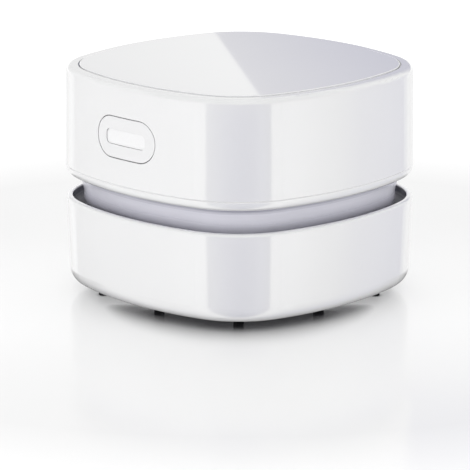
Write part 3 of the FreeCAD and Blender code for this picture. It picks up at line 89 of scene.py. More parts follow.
# %% [markdown]
# ## Writing materials as sums
# A material is a small network of nodes, and wiring it socket by socket hides what it says. Here a
# socket is wrapped in a class whose plus, minus and times add the Math nodes, so that a recipe reads
# like the sentence it is: the roughness is this much, and a bit more where the grain is high.

# %% One class for a socket, with its arithmetic
class Signal:
    """One output of a material's nodes."""

    def __init__(self, tree, socket=None):
        self.tree = tree
        self.socket = socket

    def math(self, operation, *values):
        return self.node("ShaderNodeMath", {"operation": operation}, dict(enumerate(values)))

    def __add__(self, other):
        return self.math("ADD", self, other)

    def __sub__(self, other):
        return self.math("SUBTRACT", self, other)

    def __rsub__(self, other):
        return self.math("SUBTRACT", other, self)

    def __mul__(self, other):
        return self.math("MULTIPLY", self, other)

    def __truediv__(self, other):
        return self.math("DIVIDE", self, other)

    def __neg__(self):
        return self.math("MULTIPLY", self, -1)

    def __abs__(self):
        return self.math("ABSOLUTE", self)

    def __or__(self, other):
        return self.math("MAXIMUM", self, other)

    def fraction(self):
        """What is left over a whole number."""
        return self.math("FRACT", self)

    __radd__ = __add__
    __rmul__ = __mul__

    def node(self, kind, settings=None, values=None, out=0):
        """Adds a node: its settings first, then the values or links of its sockets."""
        made = self.tree.nodes.new(kind)
        for name, value in (settings or {}).items():
            if name == "stops":
                ramp = made.color_ramp.elements
                while len(ramp) < len(value):
                    ramp.new(1)
                for stop, (place, colour) in zip(ramp, value):
                    stop.position = place
                    stop.color = (*colour, 1)
            else:
                setattr(made, name, value)
        for name, value in (values or {}).items():
            sockets = [s for s in made.inputs if s.enabled]
            if isinstance(name, int):
                found = sockets[name]
            else:
                found = next(s for s in sockets if s.name == name)
            if isinstance(value, Signal):
                self.tree.links.new(value.socket, found)
            elif found.type == "RGBA":
                found.default_value = (*value, 1)
            else:
                found.default_value = value
        sockets = [s for s in made.outputs if s.enabled]
        if isinstance(out, str):
            sockets = [s for s in sockets if s.name == out]
            out = 0
        return Signal(self.tree, sockets[out] if sockets else None)

    def blend(self, low, high):
        """A colour between two colours, with this signal as the share of the second."""
        return self.node("ShaderNodeMix", {"data_type": "RGBA"}, {"Factor": self, "A": low, "B": high})

    def axes(self):
        """The three parts of a vector."""
        return [self.node("ShaderNodeSeparateXYZ", {}, {"Vector": self}, axis) for axis in "XYZ"]

    def along(self, direction):
        """How far this vector reaches along a direction."""
        settings = {"operation": "DOT_PRODUCT"}
        return self.node("ShaderNodeVectorMath", settings, {0: self, 1: direction}, "Value")

    def length(self):
        return self.node("ShaderNodeVectorMath", {"operation": "LENGTH"}, {"Vector": self}, "Value")

    def step(self, low, high, start=0.0, end=1.0):
        """start below low, end above high, and a straight slope between."""
        values = {"Value": self, "From Min": low, "From Max": high, "To Min": start, "To Max": end}
        return self.node("ShaderNodeMapRange", {}, values)

    def noise(self, scale, detail=2.0, stretch=(1, 1, 1)):
        """Cloudy grain around 0.5, with scale in waves per metre."""
        place = self.node("ShaderNodeMapping", {}, {"Vector": self, "Scale": stretch})
        return place.node("ShaderNodeTexNoise", {}, {"Vector": place, "Scale": scale, "Detail": detail})

    def cells(self, scale, randomness=1.0, feature="F1"):
        """The distance to the nearest of many scattered points, or to the walls between them."""
        values = {"Vector": self, "Scale": scale, "Randomness": randomness}
        return self.node("ShaderNodeTexVoronoi", {"feature": feature}, values, "Distance")

    def bump(self, height):
        """A normal that follows a height, given in metres."""
        return self.node("ShaderNodeBump", {}, {"Strength": 1.0, "Distance": 1.0, "Height": height})

    def gloss(self, **values):
        """The all-round shader; its sockets are named with underscores for spaces."""
        values = {name.replace("_", " "): value for name, value in values.items()}
        return self.node("ShaderNodeBsdfPrincipled", {}, values)

    def close(self):
        """Joins this shader to the material's output."""
        self.node("ShaderNodeOutputMaterial", {}, {"Surface": self})


# %% A new material starts from the place of a point on its piece
MICRON = 0.000001


def new_surface(name):
    """A new material, and the place of a point on its piece, in metres, as a signal."""
    material = bpy.data.materials.new(name)
    material.use_nodes = True
    material.node_tree.nodes.clear()
    return material, Signal(material.node_tree).node("ShaderNodeTexCoord", {}, {}, "Object")


def start_clean():
    """An operator works on all that is selected, so nothing may be."""
    bpy.ops.object.select_all(action="DESELECT")


print("materials are written as sums from here on")

# %% [markdown]
# ## Table
# The cleaner stands on a plain white table with a faint polish. Such a table can be made white by
# pouring light on it, which burns out the shells too. Here the light stays moderate, and only the
# camera's own rays see the table paler than it is. Its contact shadow is asked for directly: an
# Ambient Occlusion node tells how much of the light from behind is kept off each point, and the table
# is darkened by that. The polish fades away outside the tent that is hung up further below.

# %% How the table looks
TABLE_COLOUR = (0.88, 0.88, 0.885)
TABLE_SEEN = (0.61, 0.61, 0.61)
TABLE_SEEN_FAR = (0.82, 0.82, 0.82)
TABLE_SHADE = (0.012, 0.012, 0.014)
TABLE_OWN_LIGHT = 0.55
TABLE_POLISH = 0.22
TABLE_ROUGHNESS = 0.14
# how far from the middle the polish starts to fade, and how far out it is gone
POLISH_FADES = 0.13, 0.22
# the shadow reaches further and further between these two places in front of the middle
BESIDE, IN_FRONT = 0.015, 0.060
SHADE_BESIDE = 0.0015
SHADE_IN_FRONT = 0.016
# the shares of light that count as none and as all
DEEP_SHADE, OPEN_TABLE = 0.10, 0.95
light_from = (Vector((0, 0, 1)) - 1.2 * near).normalized()
print("the contact shadow reaches", 1000 * SHADE_IN_FRONT, "mm in front of the cleaner")

# %% The table top
start_clean()
bpy.ops.mesh.primitive_plane_add(size=16)
table = bpy.context.active_object
table.name = "table_top"
table.visible_glossy = False
white_table, place = new_surface("white_table")
to_camera = place.node("ShaderNodeLightPath", {}, {}, "Is Camera Ray")
inside = 1 - place.length().step(*POLISH_FADES)
reach = place.along(near).step(BESIDE, IN_FRONT, SHADE_BESIDE, SHADE_IN_FRONT)
values = {"Distance": reach, "Normal": light_from}
daylight = place.node("ShaderNodeAmbientOcclusion", {"samples": 12}, values, "AO")
clear = inside.blend(TABLE_SEEN_FAR, TABLE_SEEN)
seen = daylight.step(DEEP_SHADE, OPEN_TABLE).blend(TABLE_SHADE, clear)
matte = place.node("ShaderNodeBsdfDiffuse", {}, {"Color": to_camera.blend(TABLE_COLOUR, seen)})
own = place.node("ShaderNodeEmission", {}, {"Color": seen, "Strength": TABLE_OWN_LIGHT * to_camera})
matte = place.node("ShaderNodeAddShader", {}, {0: matte, 1: own})
polish_share = TABLE_POLISH * inside * to_camera
polish = place.node("ShaderNodeBsdfGlossy", {}, {"Color": (1, 1, 1), "Roughness": TABLE_ROUGHNESS})
place.node("ShaderNodeMixShader", {}, {0: polish_share, 1: matte, 2: polish}).close()
table.data.materials.append(white_table)
print("table top is", table.dimensions.x, "m across")

# %% [markdown]
# ## Room and lamps
# The room is an even white glow, at full white where it is seen, mirrored or looked at through
# something clear, and a little weaker as light. Three soft lamps give the form its direction: a large
# one high up behind, so that shadows fall towards the viewer, and a small one low on each side, which
# reaches into the slot under the motor unit. The left one is the stronger of those two.

# %% The white room
ROOM_LIGHT = 0.74
world = bpy.data.worlds.new("white_room")
bpy.context.scene.world = world
world.use_nodes = True
world.node_tree.nodes.clear()
air = Signal(world.node_tree)
SEEING_RAYS = "Is Camera Ray", "Is Glossy Ray", "Is Transmission Ray"
camera_ray, glossy_ray, clear_ray = (air.node("ShaderNodeLightPath", {}, {}, ray) for ray in SEEING_RAYS)
strength = (camera_ray | glossy_ray | clear_ray).step(0, 1, ROOM_LIGHT, 1.0)
room = air.node("ShaderNodeBackground", {}, {"Color": (1, 1, 1), "Strength": strength})
room.node("ShaderNodeOutputWorld", {}, {"Surface": room})
print("room light", ROOM_LIGHT)


# %% Soft lamps
LAMP_AIM = Vector((0, 0, 0.03))


def softbox(name, height, aside, forward, size, power):
    """A square soft lamp that points at the cleaner; its place is given as the camera sees it."""
    place = Vector((0, 0, height)) + aside * right + forward * near
    data = bpy.data.lights.new(name, "AREA")
    data.size = size
    data.energy = power
    lamp = bpy.data.objects.new(name, data)
    bpy.context.scene.collection.objects.link(lamp)
    lamp.location = place
    lamp.rotation_mode = "QUATERNION"
    lamp.rotation_quaternion = (LAMP_AIM - place).to_track_quat("-Z", "Y")
    lamp.visible_camera = False
    lamp.visible_glossy = False


softbox("top_softbox", height=0.9, aside=0, forward=-0.3, size=0.9, power=1.5)
softbox("left_softbox", height=0.16, aside=-0.5, forward=0.35, size=0.3, power=0.98)
softbox("right_softbox", height=0.16, aside=0.5, forward=0.2, size=0.3, power=0.62)
print("lamps are lit")

# %% [markdown]
# ## A light tent for the gloss
# Glossy white plastic is hard to light: it shows whatever stands round it. A maker of small products
# hangs a white tent round the piece, so that its sides mirror clean white cloth, and the opening of the
# tent draws one soft dark band down the corner that faces it. The room behind the opening is a bit
# bluer than the cloth. The tent is seen by reflections only, so it costs no light and casts no shadow.

# %% The wall of the tent, by direction
BRIGHTEST = 1.7
WALL = (
    # degrees to the right of the camera, glow, how much more blue glow
    (-180, 1.40, 0), (-128, 1.20, 0), (-117, 0.90, 0), (-100, 1.05, 0), (-85, 1.12, 0), (-65, 1.32, 0),
    (-51, 1.58, 0), (-38.5, 1.60, 0), (-36, 0.63, 0.12), (-30, 0.55, 0.15), (-16, 0.31, 0.25),
    (0, 0.10, 0.30), (14, 0.15, 0.28), (25, 0.40, 0.25), (35.5, 0.48, 0.15), (37.5, 1.57, 0),
    (58, 1.50, 0), (68, 1.20, 0), (77, 1.00, 0.02), (88, 0.66, 0.12), (103, 0.56, 0.15),
    (114, 0.52, 0.15), (128, 1.00, 0), (180, 1.40, 0),
)


def on_cloth(colour):
    """A colour as a share of the brightest cloth."""
    return tuple(part / BRIGHTEST for part in colour)


def glowing(glow, blue=0.0):
    """A grey glow with more blue in it, as a share of the brightest cloth."""
    return on_cloth((glow, glow, glow + blue))


# %% The tent is an open tube whose glow changes round its wall
TENT_RADIUS = 0.25
TENT_TOP = 0.6
TENT_FOOT = -1.4
start_clean()
bpy.ops.mesh.primitive_cylinder_add(
    vertices=128, radius=TENT_RADIUS, depth=TENT_TOP - TENT_FOOT, end_fill_type="NOTHING",
    location=(0, 0, (TENT_TOP + TENT_FOOT) / 2),
)
tent = bpy.context.active_object
bpy.ops.object.transform_apply(location=True)
tent.name = "light_tent"
for path in ("camera", "diffuse", "transmission", "shadow", "volume_scatter"):
    setattr(tent, "visible_" + path, False)
print("tent is", 2 * TENT_RADIUS, "m across")

# %% [markdown]
# The walls of the cleaner mirror only a low belt of the tent, and the flat plate and the table mirror
# what is higher up at the back, so each height can be hung for what mirrors it. The dark band ends a
# little above the table in front, and higher up the tent is even cloth: seen from the other side, the
# plate mirrors nothing but white.

# %% Glow by direction, and even cloth above
# heights above the table over which the band in front, and the belt all round, fade into even cloth
BAND_TOP = 0.015, 0.035
BELT_TOP = 0.080, 0.092
EVEN_GLOW = 0.93
tent_glow, place = new_surface("tent_glow")
height = place.axes()[2]
across = place.along(right)
behind = place.along(-near)
turn = across.math("ARCTAN2", across, -behind) * (180 / math.pi)
stops = [((angle + 180) / 360, glowing(glow, blue)) for angle, glow, blue in WALL]
cloth = place.node("ShaderNodeValToRGB", {"stops": stops}, {"Fac": turn.step(-180, 180)})
even = (-behind).step(0.0, 0.1) * height.step(*BAND_TOP) | height.step(*BELT_TOP)
cloth = even.blend(cloth, glowing(EVEN_GLOW))
print("the dark band ends", 1000 * BAND_TOP[1], "mm above the table")

# %% [markdown]
# Two cards hang at the back, where only the top plate mirrors them: a pale one on the left and a greyer
# one on the right, cut at a slant. Their shared edge is the sharp line that crosses the plate. In the
# middle they reach further down, for the far edge of the plate. Below them the cloth is pale, for the
# polish of the table behind the cleaner. Well below the table's height it is dark, as the shadow under a
# thing on a table is, so that the round under the dust cup ends in a dark edge.

# %% Cards, and the low part of the tent
# a point on the shared edge, to the right of the middle and above the table
CARD_EDGE = Vector((-0.0078, 0.1008))
# how far the edge goes to the right for each metre that it rises
CARD_SLANT = 14.3 / 20.7
CARD_SEAM = 0.0004
CARD_FADE = 0.06
# the glow of each card at its left and at its right
LEFT_CARD = (0.86, 0.86, 0.86), (0.97, 0.97, 0.97)
RIGHT_CARD = (0.65, 0.645, 0.695), (0.44, 0.44, 0.56)
# heights above the table, and the half width of the middle, over which one hanging fades into the next
CARD_FOOT = 0.100, 0.104
MIDDLE_FOOT = 0.055, 0.065
MIDDLE_SIDE = 0.044, 0.050
PALE_TOP = 0.045, 0.060
DARK_TOP = -0.080, -0.060
PALE_GLOW = 0.95
DARK_GLOW = 0.25
past_edge = across - CARD_EDGE.x - (height - CARD_EDGE.y) * CARD_SLANT
left_card = past_edge.step(-CARD_FADE, 0).blend(*map(on_cloth, LEFT_CARD))
right_card = past_edge.step(0, CARD_FADE).blend(*map(on_cloth, RIGHT_CARD))
cards = past_edge.step(-CARD_SEAM, CARD_SEAM).blend(left_card, right_card)
middle = height.step(*MIDDLE_FOOT) * abs(across).step(*MIDDLE_SIDE, 1, 0)
rear = behind.step(0.15, 0.2)
rear_and_flanks = behind.step(0.05, 0.16)
cloth = (rear * (height.step(*CARD_FOOT) | middle)).blend(cloth, cards)
cloth = (rear * height.step(*PALE_TOP, 1, 0)).blend(cloth, glowing(PALE_GLOW))
cloth = (rear_and_flanks * height.step(*DARK_TOP, 1, 0)).blend(cloth, glowing(DARK_GLOW))
place.node("ShaderNodeEmission", {}, {"Color": cloth, "Strength": BRIGHTEST}).close()
tent.data.materials.append(tent_glow)
print("the cards meet", 1000 * CARD_EDGE.x, "mm beside the middle")

# %% [markdown]
# ## White mouldings
# The shells are injection-moulded in white plastic and polished. Up close such a face isn't one flat
# colour: the white has very faint clouds, the polish has hairlines from wiping and a haze where fingers
# held it, and a trace of orange peel bends what it mirrors. Each of these feeds the socket it belongs
# to, and stays as weak as on a new thing. One recipe serves every polished white part.

# %% Polished white
def tint(colour, share):
    """A colour made lighter or darker."""
    return tuple(min(1.0, c * share) for c in colour)


HAIR_GRAIN = 260
HAIR_STRETCH = 18


def hairlines(place):
    """Fine wiping marks, some level and some upright, as a share from 0 to 1."""
    level_ones = place.noise(HAIR_GRAIN, 2, (1, 1, HAIR_STRETCH)).step(0.66, 0.74)
    upright_ones = place.noise(HAIR_GRAIN, 2, (HAIR_STRETCH, HAIR_STRETCH, 1)).step(0.68, 0.76)
    return level_ones | upright_ones


def polished(name, colour, roughness, painted_shade=None, coat=1.0):
    """Glossy plastic; an optional function of the place gives the share and colour of painted shade."""
    material, place = new_surface(name)
    white = place.noise(45, 3).blend(tint(colour, 0.985), tint(colour, 1.015))
    rough = roughness + 0.03 * place.noise(70).step(0.45, 0.75) + 0.04 * hairlines(place)
    # painted shade: a darker colour mixed in where the mask asks for it, with less polish there
    if painted_shade:
        share, shade_colour = painted_shade(place)
        white = share.blend(white, shade_colour)
        rough = rough + 0.3 * share
    place.gloss(
        Base_Color=white, Roughness=rough, Specular_IOR_Level=1.0, Coat_Weight=coat, Coat_Roughness=0.03,
        Normal=place.bump(MICRON * place.noise(700, 1)),
    ).close()
    return material


SHELL_WHITE = (0.80, 0.80, 0.804)
shell_white = polished("shell_white", SHELL_WHITE, 0.08)
print("shells are", SHELL_WHITE)

# %% [markdown]
# The blown air leaves through the open slot under the motor unit. The shade in that slot is painted into
# the colour as a grey, mottled film: low on the neck, in the corner under the lip, and inside the rim of
# the cup. This painted shade is a mask over the clean colour, and it also takes the polish away. The
# mask follows heights that are the same for every part, because each part's places are measured in one
# frame.

# %% Painted shade at the waist
SLOT_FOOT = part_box("lower_shell")[1].z
SLOT_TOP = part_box("neck")[1].z
# the colours of the painted shade inside the cup's rim and on the neck, and how much the neck's foot
# takes
RIM_SHADE_COLOUR = (0.10, 0.10, 0.125)
NECK_SHADE_COLOUR = (0.33, 0.325, 0.40)
NECK_SHADE_SHARE = 0.75
# depths under the cup's rim: where its round is left unshaded, and where the painted shade thins out
RIM_UNSHADED = 0.0001, 0.0005
RIM_SHADE_DEPTHS = 0.0015, 0.0035
# heights above that rim, and depths under the lip, where the painted shade on the neck thins out
NECK_SHADE_HEIGHTS = -0.0010, 0.0030
LIP_SHADE_DEPTHS = 0.0004, 0.0016
# how far a face looks back past the middle before it counts as the inside of the cup
LOOKS_BACK = 0.006, 0.015


def painted_rim_shade(place):
    """Painted shade on the faces inside the cup that look inwards, darkest just under the rounded rim.
    """
    x, y, z = place.axes()
    look_x, look_y = place.node("ShaderNodeTexCoord", {}, {}, "Normal").axes()[:2]
    inward = (-(x * look_x + y * look_y)).step(*LOOKS_BACK)
    depth = SLOT_FOOT - z
    share = inward * depth.step(*RIM_SHADE_DEPTHS, 1, 0) * depth.step(*RIM_UNSHADED)
    return share * place.noise(300, 3).step(0.2, 0.5, 0.8, 1.0), RIM_SHADE_COLOUR


def painted_neck_shade(place):
    """Painted shade on the foot of the neck and in the corner under the lip."""
    height = place.axes()[2]
    foot = (height - SLOT_FOOT).step(*NECK_SHADE_HEIGHTS, 1, 0)
    corner = (SLOT_TOP - height).step(*LIP_SHADE_DEPTHS, 1, 0)
    share = foot * NECK_SHADE_SHARE | corner
    return share * place.noise(300, 3).step(0.2, 0.5, 0.9, 1.0), NECK_SHADE_COLOUR


# the cup's white, with painted shade inside its rim
cup_white = polished("cup_white", SHELL_WHITE, 0.08, painted_rim_shade)
print("the slot is", round(1000 * (SLOT_TOP - SLOT_FOOT), 1), "mm high")

# %% Plate, neck and button
TOP_WHITE = (0.82, 0.82, 0.832)
NECK_LAVENDER = (0.905, 0.90, 0.985)
BUTTON_WHITE = (0.80, 0.80, 0.806)
top_gloss = polished("top_gloss", TOP_WHITE, 0.05)
# the neck takes painted shade at its foot and in the corner under the lip
neck_grey = polished("neck_grey", NECK_LAVENDER, 0.16, painted_neck_shade)
button_white = polished("button_white", BUTTON_WHITE, 0.2, coat=0.4)
print("three more polished whites")

# %% [markdown]
# The light bar in the button is a light guide: clear plastic with a milky filler. Its face is smooth,
# and its colour is the purest white on the cleaner. A faint painted glow from emission makes it a
# little brighter still, though its light is off.

# %% Milky light guide
light_bar, place = new_surface("light_bar")
milk = place.noise(1500, 3).blend((0.83, 0.83, 0.835), (0.87, 0.87, 0.875))
place.gloss(
    Base_Color=milk, Roughness=0.12 + 0.04 * place.noise(400),
    # a painted glow: the light bar gives off a little light of its own, though it is not switched on
    Emission_Color=milk, Emission_Strength=0.03, Coat_Weight=0.5, Coat_Roughness=0.05,
    Normal=place.bump(MICRON * place.noise(2500)),
).close()
print("the light bar is milky")

# %% [markdown]
# Parts that nobody looks at are not polished. Their steel moulds are spark-eroded, which leaves a fine
# frosted texture, and the plastic flows into them with soft clouds and streaks. Black parts have glass
# fibre in the plastic, which shows as short pale streaks.

# %% Frosted white and glass-filled black
inner_white, place = new_surface("inner_white")
frost = place.noise(2600, 2)
flow = place.noise(60, 3, (1, 1, 3))
place.gloss(
    Base_Color=flow.blend((0.74, 0.74, 0.745), (0.80, 0.80, 0.80)), Roughness=0.42 + 0.16 * frost,
    Normal=place.bump(12 * MICRON * frost),
).close()

inner_black, place = new_surface("inner_black")
fibres = place.noise(1800, 2, (1, 6, 1)).step(0.62, 0.72)
fibres = fibres | place.noise(1800, 2, (6, 1, 6)).step(0.64, 0.74)
place.gloss(
    Base_Color=fibres.blend((0.018, 0.018, 0.020), (0.07, 0.07, 0.075)),
    Roughness=0.38 + 0.2 * place.noise(500), Normal=place.bump(6 * MICRON * fibres),
).close()
print("inner parts are frosted")

# %% [markdown]
# ## Fibres and rubber
# Nylon bristles are black, a little streaky along their length, with worn paler tips. The filter is a
# cloth of short fibres laid at random and pressed together at a grid of small points. Rubber is dull,
# and has a grey bloom.

# %% Nylon, filter cloth and rubber
WORN_TIP = 0.0005
bristle, place = new_surface("bristle")
streak = place.noise(5200, 1, (1, 1, 0.02))
worn = place.axes()[2].step(0.0, WORN_TIP, 1, 0)
pale = streak * (1 - worn) + 2 * worn
place.gloss(
    Base_Color=pale.blend((0.001, 0.001, 0.0012), (0.006, 0.006, 0.0065)),
    Roughness=0.5 + 0.2 * streak, Specular_IOR_Level=0.15, Normal=place.bump(10 * MICRON * streak),
).close()

FIBRE_SWAY = 0.0012
filter_cloth, place = new_surface("filter_cloth")
sway = place.node("ShaderNodeTexNoise", {}, {"Vector": place, "Scale": 900.0}, "Color")
sway = place.node("ShaderNodeVectorMath", {"operation": "SCALE"}, {"Vector": sway, "Scale": FIBRE_SWAY})
wander = place.node("ShaderNodeVectorMath", {"operation": "ADD"}, {0: place, 1: sway})
fibres = wander.cells(1300, 1.0, "DISTANCE_TO_EDGE").step(0.0, 0.09, 1, 0)
bonds = place.cells(620, 0.0).step(0.16, 0.24, 1, 0)
felt = place.noise(120, 4).blend((0.66, 0.66, 0.64), (0.78, 0.78, 0.765))
place.gloss(
    Base_Color=(fibres * 0.6).blend(felt, (0.88, 0.88, 0.87)),
    Roughness=0.85 + 0.1 * fibres - 0.2 * bonds,
    Normal=place.bump(40 * MICRON * fibres - 90 * MICRON * bonds), Sheen_Weight=0.3, Sheen_Roughness=0.5,
).close()

black_rubber, place = new_surface("black_rubber")
bloom = place.noise(240, 4).step(0.4, 0.8)
place.gloss(
    Base_Color=bloom.blend((0.014, 0.014, 0.014), (0.045, 0.045, 0.047)), Roughness=0.6 + 0.2 * bloom,
    Normal=place.bump(6 * MICRON * place.noise(3000)),
).close()
print("fibres and rubber are done")

# %% [markdown]
# ## Metals
# Screws, the motor's can and the socket are zinc-plated steel: a cool shine, rolling lines, and faint
# blue and straw patches from the passivation. The armature is a stack of thin sheets, so fine lines
# cross its side. The commutator is a copper ring that is cut into three bars. Bearing bronze is pressed
# from powder and full of pores, and a ferrite magnet is a dark ceramic with chipped grains.

# %% Steel and laminations
steel, place = new_surface("steel")
rolled = place.noise(1400, 2, (1, 1, 16))
patina = place.noise(180, 3).step(0.35, 0.7)
place.gloss(
    Base_Color=patina.blend((0.56, 0.58, 0.61), (0.64, 0.63, 0.58)), Metallic=1.0,
    Roughness=0.24 + 0.14 * rolled, Normal=place.bump(3 * MICRON * rolled),
).close()

SHEET = 0.0005
laminations, place = new_surface("laminations")
joint = abs((place.axes()[2] / SHEET).fraction() - 0.5).step(0.36, 0.46)
place.gloss(
    Base_Color=joint.blend((0.36, 0.36, 0.38), (0.08, 0.08, 0.085)), Metallic=0.9 - 0.6 * joint,
    Roughness=0.4 + 0.2 * place.noise(900), Normal=place.bump(-40 * MICRON * joint),
).close()
print("steel sheets are", 1000 * SHEET, "mm thick")

# %% Copper, bronze and ferrite
BARS = 3


def copper_finish(name, bars=0):
    """Copper with a warm tarnish; a commutator's ring is cut into bars."""
    material, place = new_surface(name)
    tarnish = place.noise(500, 3)
    metal = tarnish.blend((0.62, 0.30, 0.17), (0.82, 0.46, 0.30))
    values = {"Base_Color": metal, "Metallic": 1.0, "Roughness": 0.25 + 0.15 * tarnish}
    if bars:
        x, y = place.axes()[:2]
        turn = y.math("ARCTAN2", y, x) * (bars / math.tau)
        slit = abs(turn.fraction() - 0.5).step(0.012, 0.03, 1, 0)
        values["Base_Color"] = slit.blend(metal, (0.05, 0.045, 0.04))
        values["Metallic"] = 1 - slit
        values["Normal"] = place.bump(-100 * MICRON * slit)
    place.gloss(**values).close()
    return material


copper = copper_finish("copper")
commutator_copper = copper_finish("commutator_copper", BARS)

bronze, place = new_surface("bronze")
pores = place.cells(4200).step(0.10, 0.3, 1, 0)
place.gloss(
    Base_Color=pores.blend((0.66, 0.47, 0.22), (0.22, 0.15, 0.07)), Metallic=1 - 0.7 * pores,
    Roughness=0.42 + 0.25 * pores, Normal=place.bump(-20 * MICRON * pores),
).close()

magnet, place = new_surface("magnet")
grains = place.cells(2800)
place.gloss(
    Base_Color=grains.blend((0.035, 0.035, 0.038), (0.085, 0.085, 0.09)), Roughness=0.5 + 0.3 * grains,
    Metallic=0.2, Normal=place.bump(15 * MICRON * grains),
).close()
print("the commutator has", BARS, "bars")

# %% [markdown]
# ## Electrical parts
# The battery cell wears a blue shrink sleeve, which curls a little over its steel ends. The boards carry
# green solder mask, which rises over the copper traces and leaves round tinned pads bare. Wires have
# soft plastic insulation: black on the minus side, red on the plus side, and yellow to the switch. The
# tongue of the charging socket carries a row of gold contacts on each face.

# %% The shrink sleeve of the cell
cell_low, cell_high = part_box("battery_cell")
cell_middle = (cell_low + cell_high) / 2
cell_half = (cell_high - cell_low) / 2
SLEEVE_CURL = 0.0014
SLEEVE_EDGE = 0.0001
bare_radius = cell_half.z - SLEEVE_CURL
cell_wrap, place = new_surface("cell_wrap")
x, y, z = place.axes()
aside = x - cell_middle.x
above = z - cell_middle.z
off_axis = aside.math("SQRT", aside * aside + above * above)
end_face = abs(y - cell_middle.y).step(cell_half.y - 2 * SLEEVE_EDGE, cell_half.y - SLEEVE_EDGE)
bare = end_face * off_axis.step(bare_radius - SLEEVE_EDGE, bare_radius, 1, 0)
wrinkles = place.noise(800, 2, (1, 0.12, 1))
sleeve = place.noise(120).blend((0.016, 0.12, 0.40), (0.024, 0.17, 0.50))
place.gloss(
    Base_Color=bare.blend(sleeve, (0.62, 0.62, 0.60)), Metallic=bare, Roughness=0.24 + 0.12 * wrinkles,
    Normal=place.bump(12 * MICRON * wrinkles - 40 * MICRON * bare),
).close()
print("each end shows a round of bare steel,", round(2000 * bare_radius, 1), "mm across")

# %% Boards and wires
board_green, place = new_surface("board_green")
traces = place.cells(420, 0.4, "DISTANCE_TO_EDGE").step(0.05, 0.09, 1, 0)
pads = place.cells(380, 0.0).step(0.14, 0.2, 1, 0)
mask = traces.blend((0.008, 0.085, 0.035), (0.014, 0.15, 0.06))
place.gloss(
    Base_Color=pads.blend(mask, (0.66, 0.66, 0.63)), Metallic=0.9 * pads,
    Roughness=0.3 + 0.1 * place.noise(600),
    Normal=place.bump(20 * MICRON * traces + 30 * MICRON * pads),
).close()


def insulation(name, minus, plus):
    """Soft wire insulation that changes colour between the two sides of the cleaner."""
    material, place = new_surface(name)
    scuffs = place.noise(1500, 3)
    minus, plus = (scuffs.blend(tint(colour, 0.9), tint(colour, 1.15)) for colour in (minus, plus))
    side = place.axes()[1].step(-0.0001, 0.0001)
    place.gloss(
        Base_Color=side.blend(minus, plus), Roughness=0.4 + 0.15 * scuffs,
        Normal=place.bump(10 * MICRON * scuffs),
    ).close()
    return material


BLACK_WIRE = (0.018, 0.018, 0.02)
RED_WIRE = (0.46, 0.02, 0.015)
YELLOW_WIRE = (0.62, 0.42, 0.03)
lead_insulation = insulation("lead_insulation", BLACK_WIRE, RED_WIRE)
switch_insulation = insulation("switch_insulation", YELLOW_WIRE, YELLOW_WIRE)
print("wires are black, red and yellow")

# %% Gold contacts on the socket's tongue
CONTACT_PITCH = 0.0005
CONTACTS = 12
CONTACT_EDGE = 0.00001
CONTACT_SETBACK = 0.0006
TONGUE_CORE = 0.0002, 0.00022
row_half = CONTACTS / 2 * CONTACT_PITCH
tongue_low, tongue_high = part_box("usb_tongue")
tongue_middle = (tongue_low.z + tongue_high.z) / 2
row_end = tongue_high.y - CONTACT_SETBACK
tongue_black, place = new_surface("tongue_black")
x, y, z = place.axes()
strip = abs((x / CONTACT_PITCH).fraction() - 0.5).step(0.24, 0.27, 1, 0)
strip = strip * abs(x).step(row_half - CONTACT_EDGE, row_half + CONTACT_EDGE, 1, 0)
strip = strip * y.step(row_end - 0.0001, row_end, 1, 0)
strip = strip * abs(z - tongue_middle).step(*TONGUE_CORE)
wear = place.noise(1800, 3)
place.gloss(
    Base_Color=strip.blend(wear.blend((0.018, 0.018, 0.02), (0.034, 0.034, 0.037)), (0.80, 0.58, 0.24)),
    Metallic=strip, Roughness=0.4 - 0.15 * strip + 0.1 * wear, Normal=place.bump(20 * MICRON * strip),
).close()
print(CONTACTS, "contacts on each face")

# %% [markdown]
# ## Finishes go onto the parts
# Every moulding, screw and wire already names the finish it takes, as a slot of its own material. Those
# placeholders are swapped for the finishes made above. A few parts take a finish of their own, for what
# is true of them alone: the cup has painted shade inside its rim, the commutator is cut, the tongue has
# contacts, and the wire to the switch is yellow.

# %% Every part gets its finish
FINISHES = {
    "shell_white": shell_white, "top_gloss": top_gloss, "neck_grey": neck_grey,
    "button_white": button_white, "light_bar": light_bar, "inner_white": inner_white,
    "inner_black": inner_black, "bristle": bristle, "filter_cloth": filter_cloth,
    "black_rubber": black_rubber, "steel": steel, "magnet": magnet, "laminations": laminations,
    "copper": copper, "bronze": bronze, "cell_wrap": cell_wrap, "board_green": board_green,
    "lead_insulation": lead_insulation,
}
OWN_FINISHES = {
    "lower_shell": cup_white, "commutator": commutator_copper, "usb_tongue": tongue_black,
    "switch_leads": switch_insulation,
}
for name, piece in nodes.items():
    for used in piece.material_slots:
        used.material = OWN_FINISHES.get(name) or FINISHES[used.material.name.split(".")[0]]
print(len(FINISHES) + len(OWN_FINISHES), "finishes on", len(nodes), "parts")

# %% [markdown]
# ## Brushes
# Ten tufts of nylon stand in the base and sweep crumbs towards the suction opening. A tuft is a bundle
# of strands that are folded into a hole and spread towards their tips. The construction model only
# holds their place with plain pins. One strand is modelled: a thin five-sided rod, which is cut at a few
# heights, curved outwards, and narrowed at its tip. Its copies stand as the seeds of a sunflower do,
# which fills a round evenly, and the finished tuft is copied to the ten places.

# %% Selecting, copying and joining
def select_where(piece, rule):
    """Selects the vertices whose places meet a rule, in edit mode."""
    bpy.ops.mesh.select_all(action="DESELECT")
    form = bmesh.from_edit_mesh(piece.data)
    for vertex in form.verts:
        vertex.select = rule(vertex.co)
    form.select_flush_mode()
    bmesh.update_edit_mesh(piece.data)


def placed_copy(piece, name, matrix):
    """A copy with a mesh of its own, moved inside that mesh."""
    copy = piece.copy()
    copy.data = piece.data.copy()
    copy.name = name
    copy.data.transform(matrix)
    bpy.context.scene.collection.objects.link(copy)
    return copy


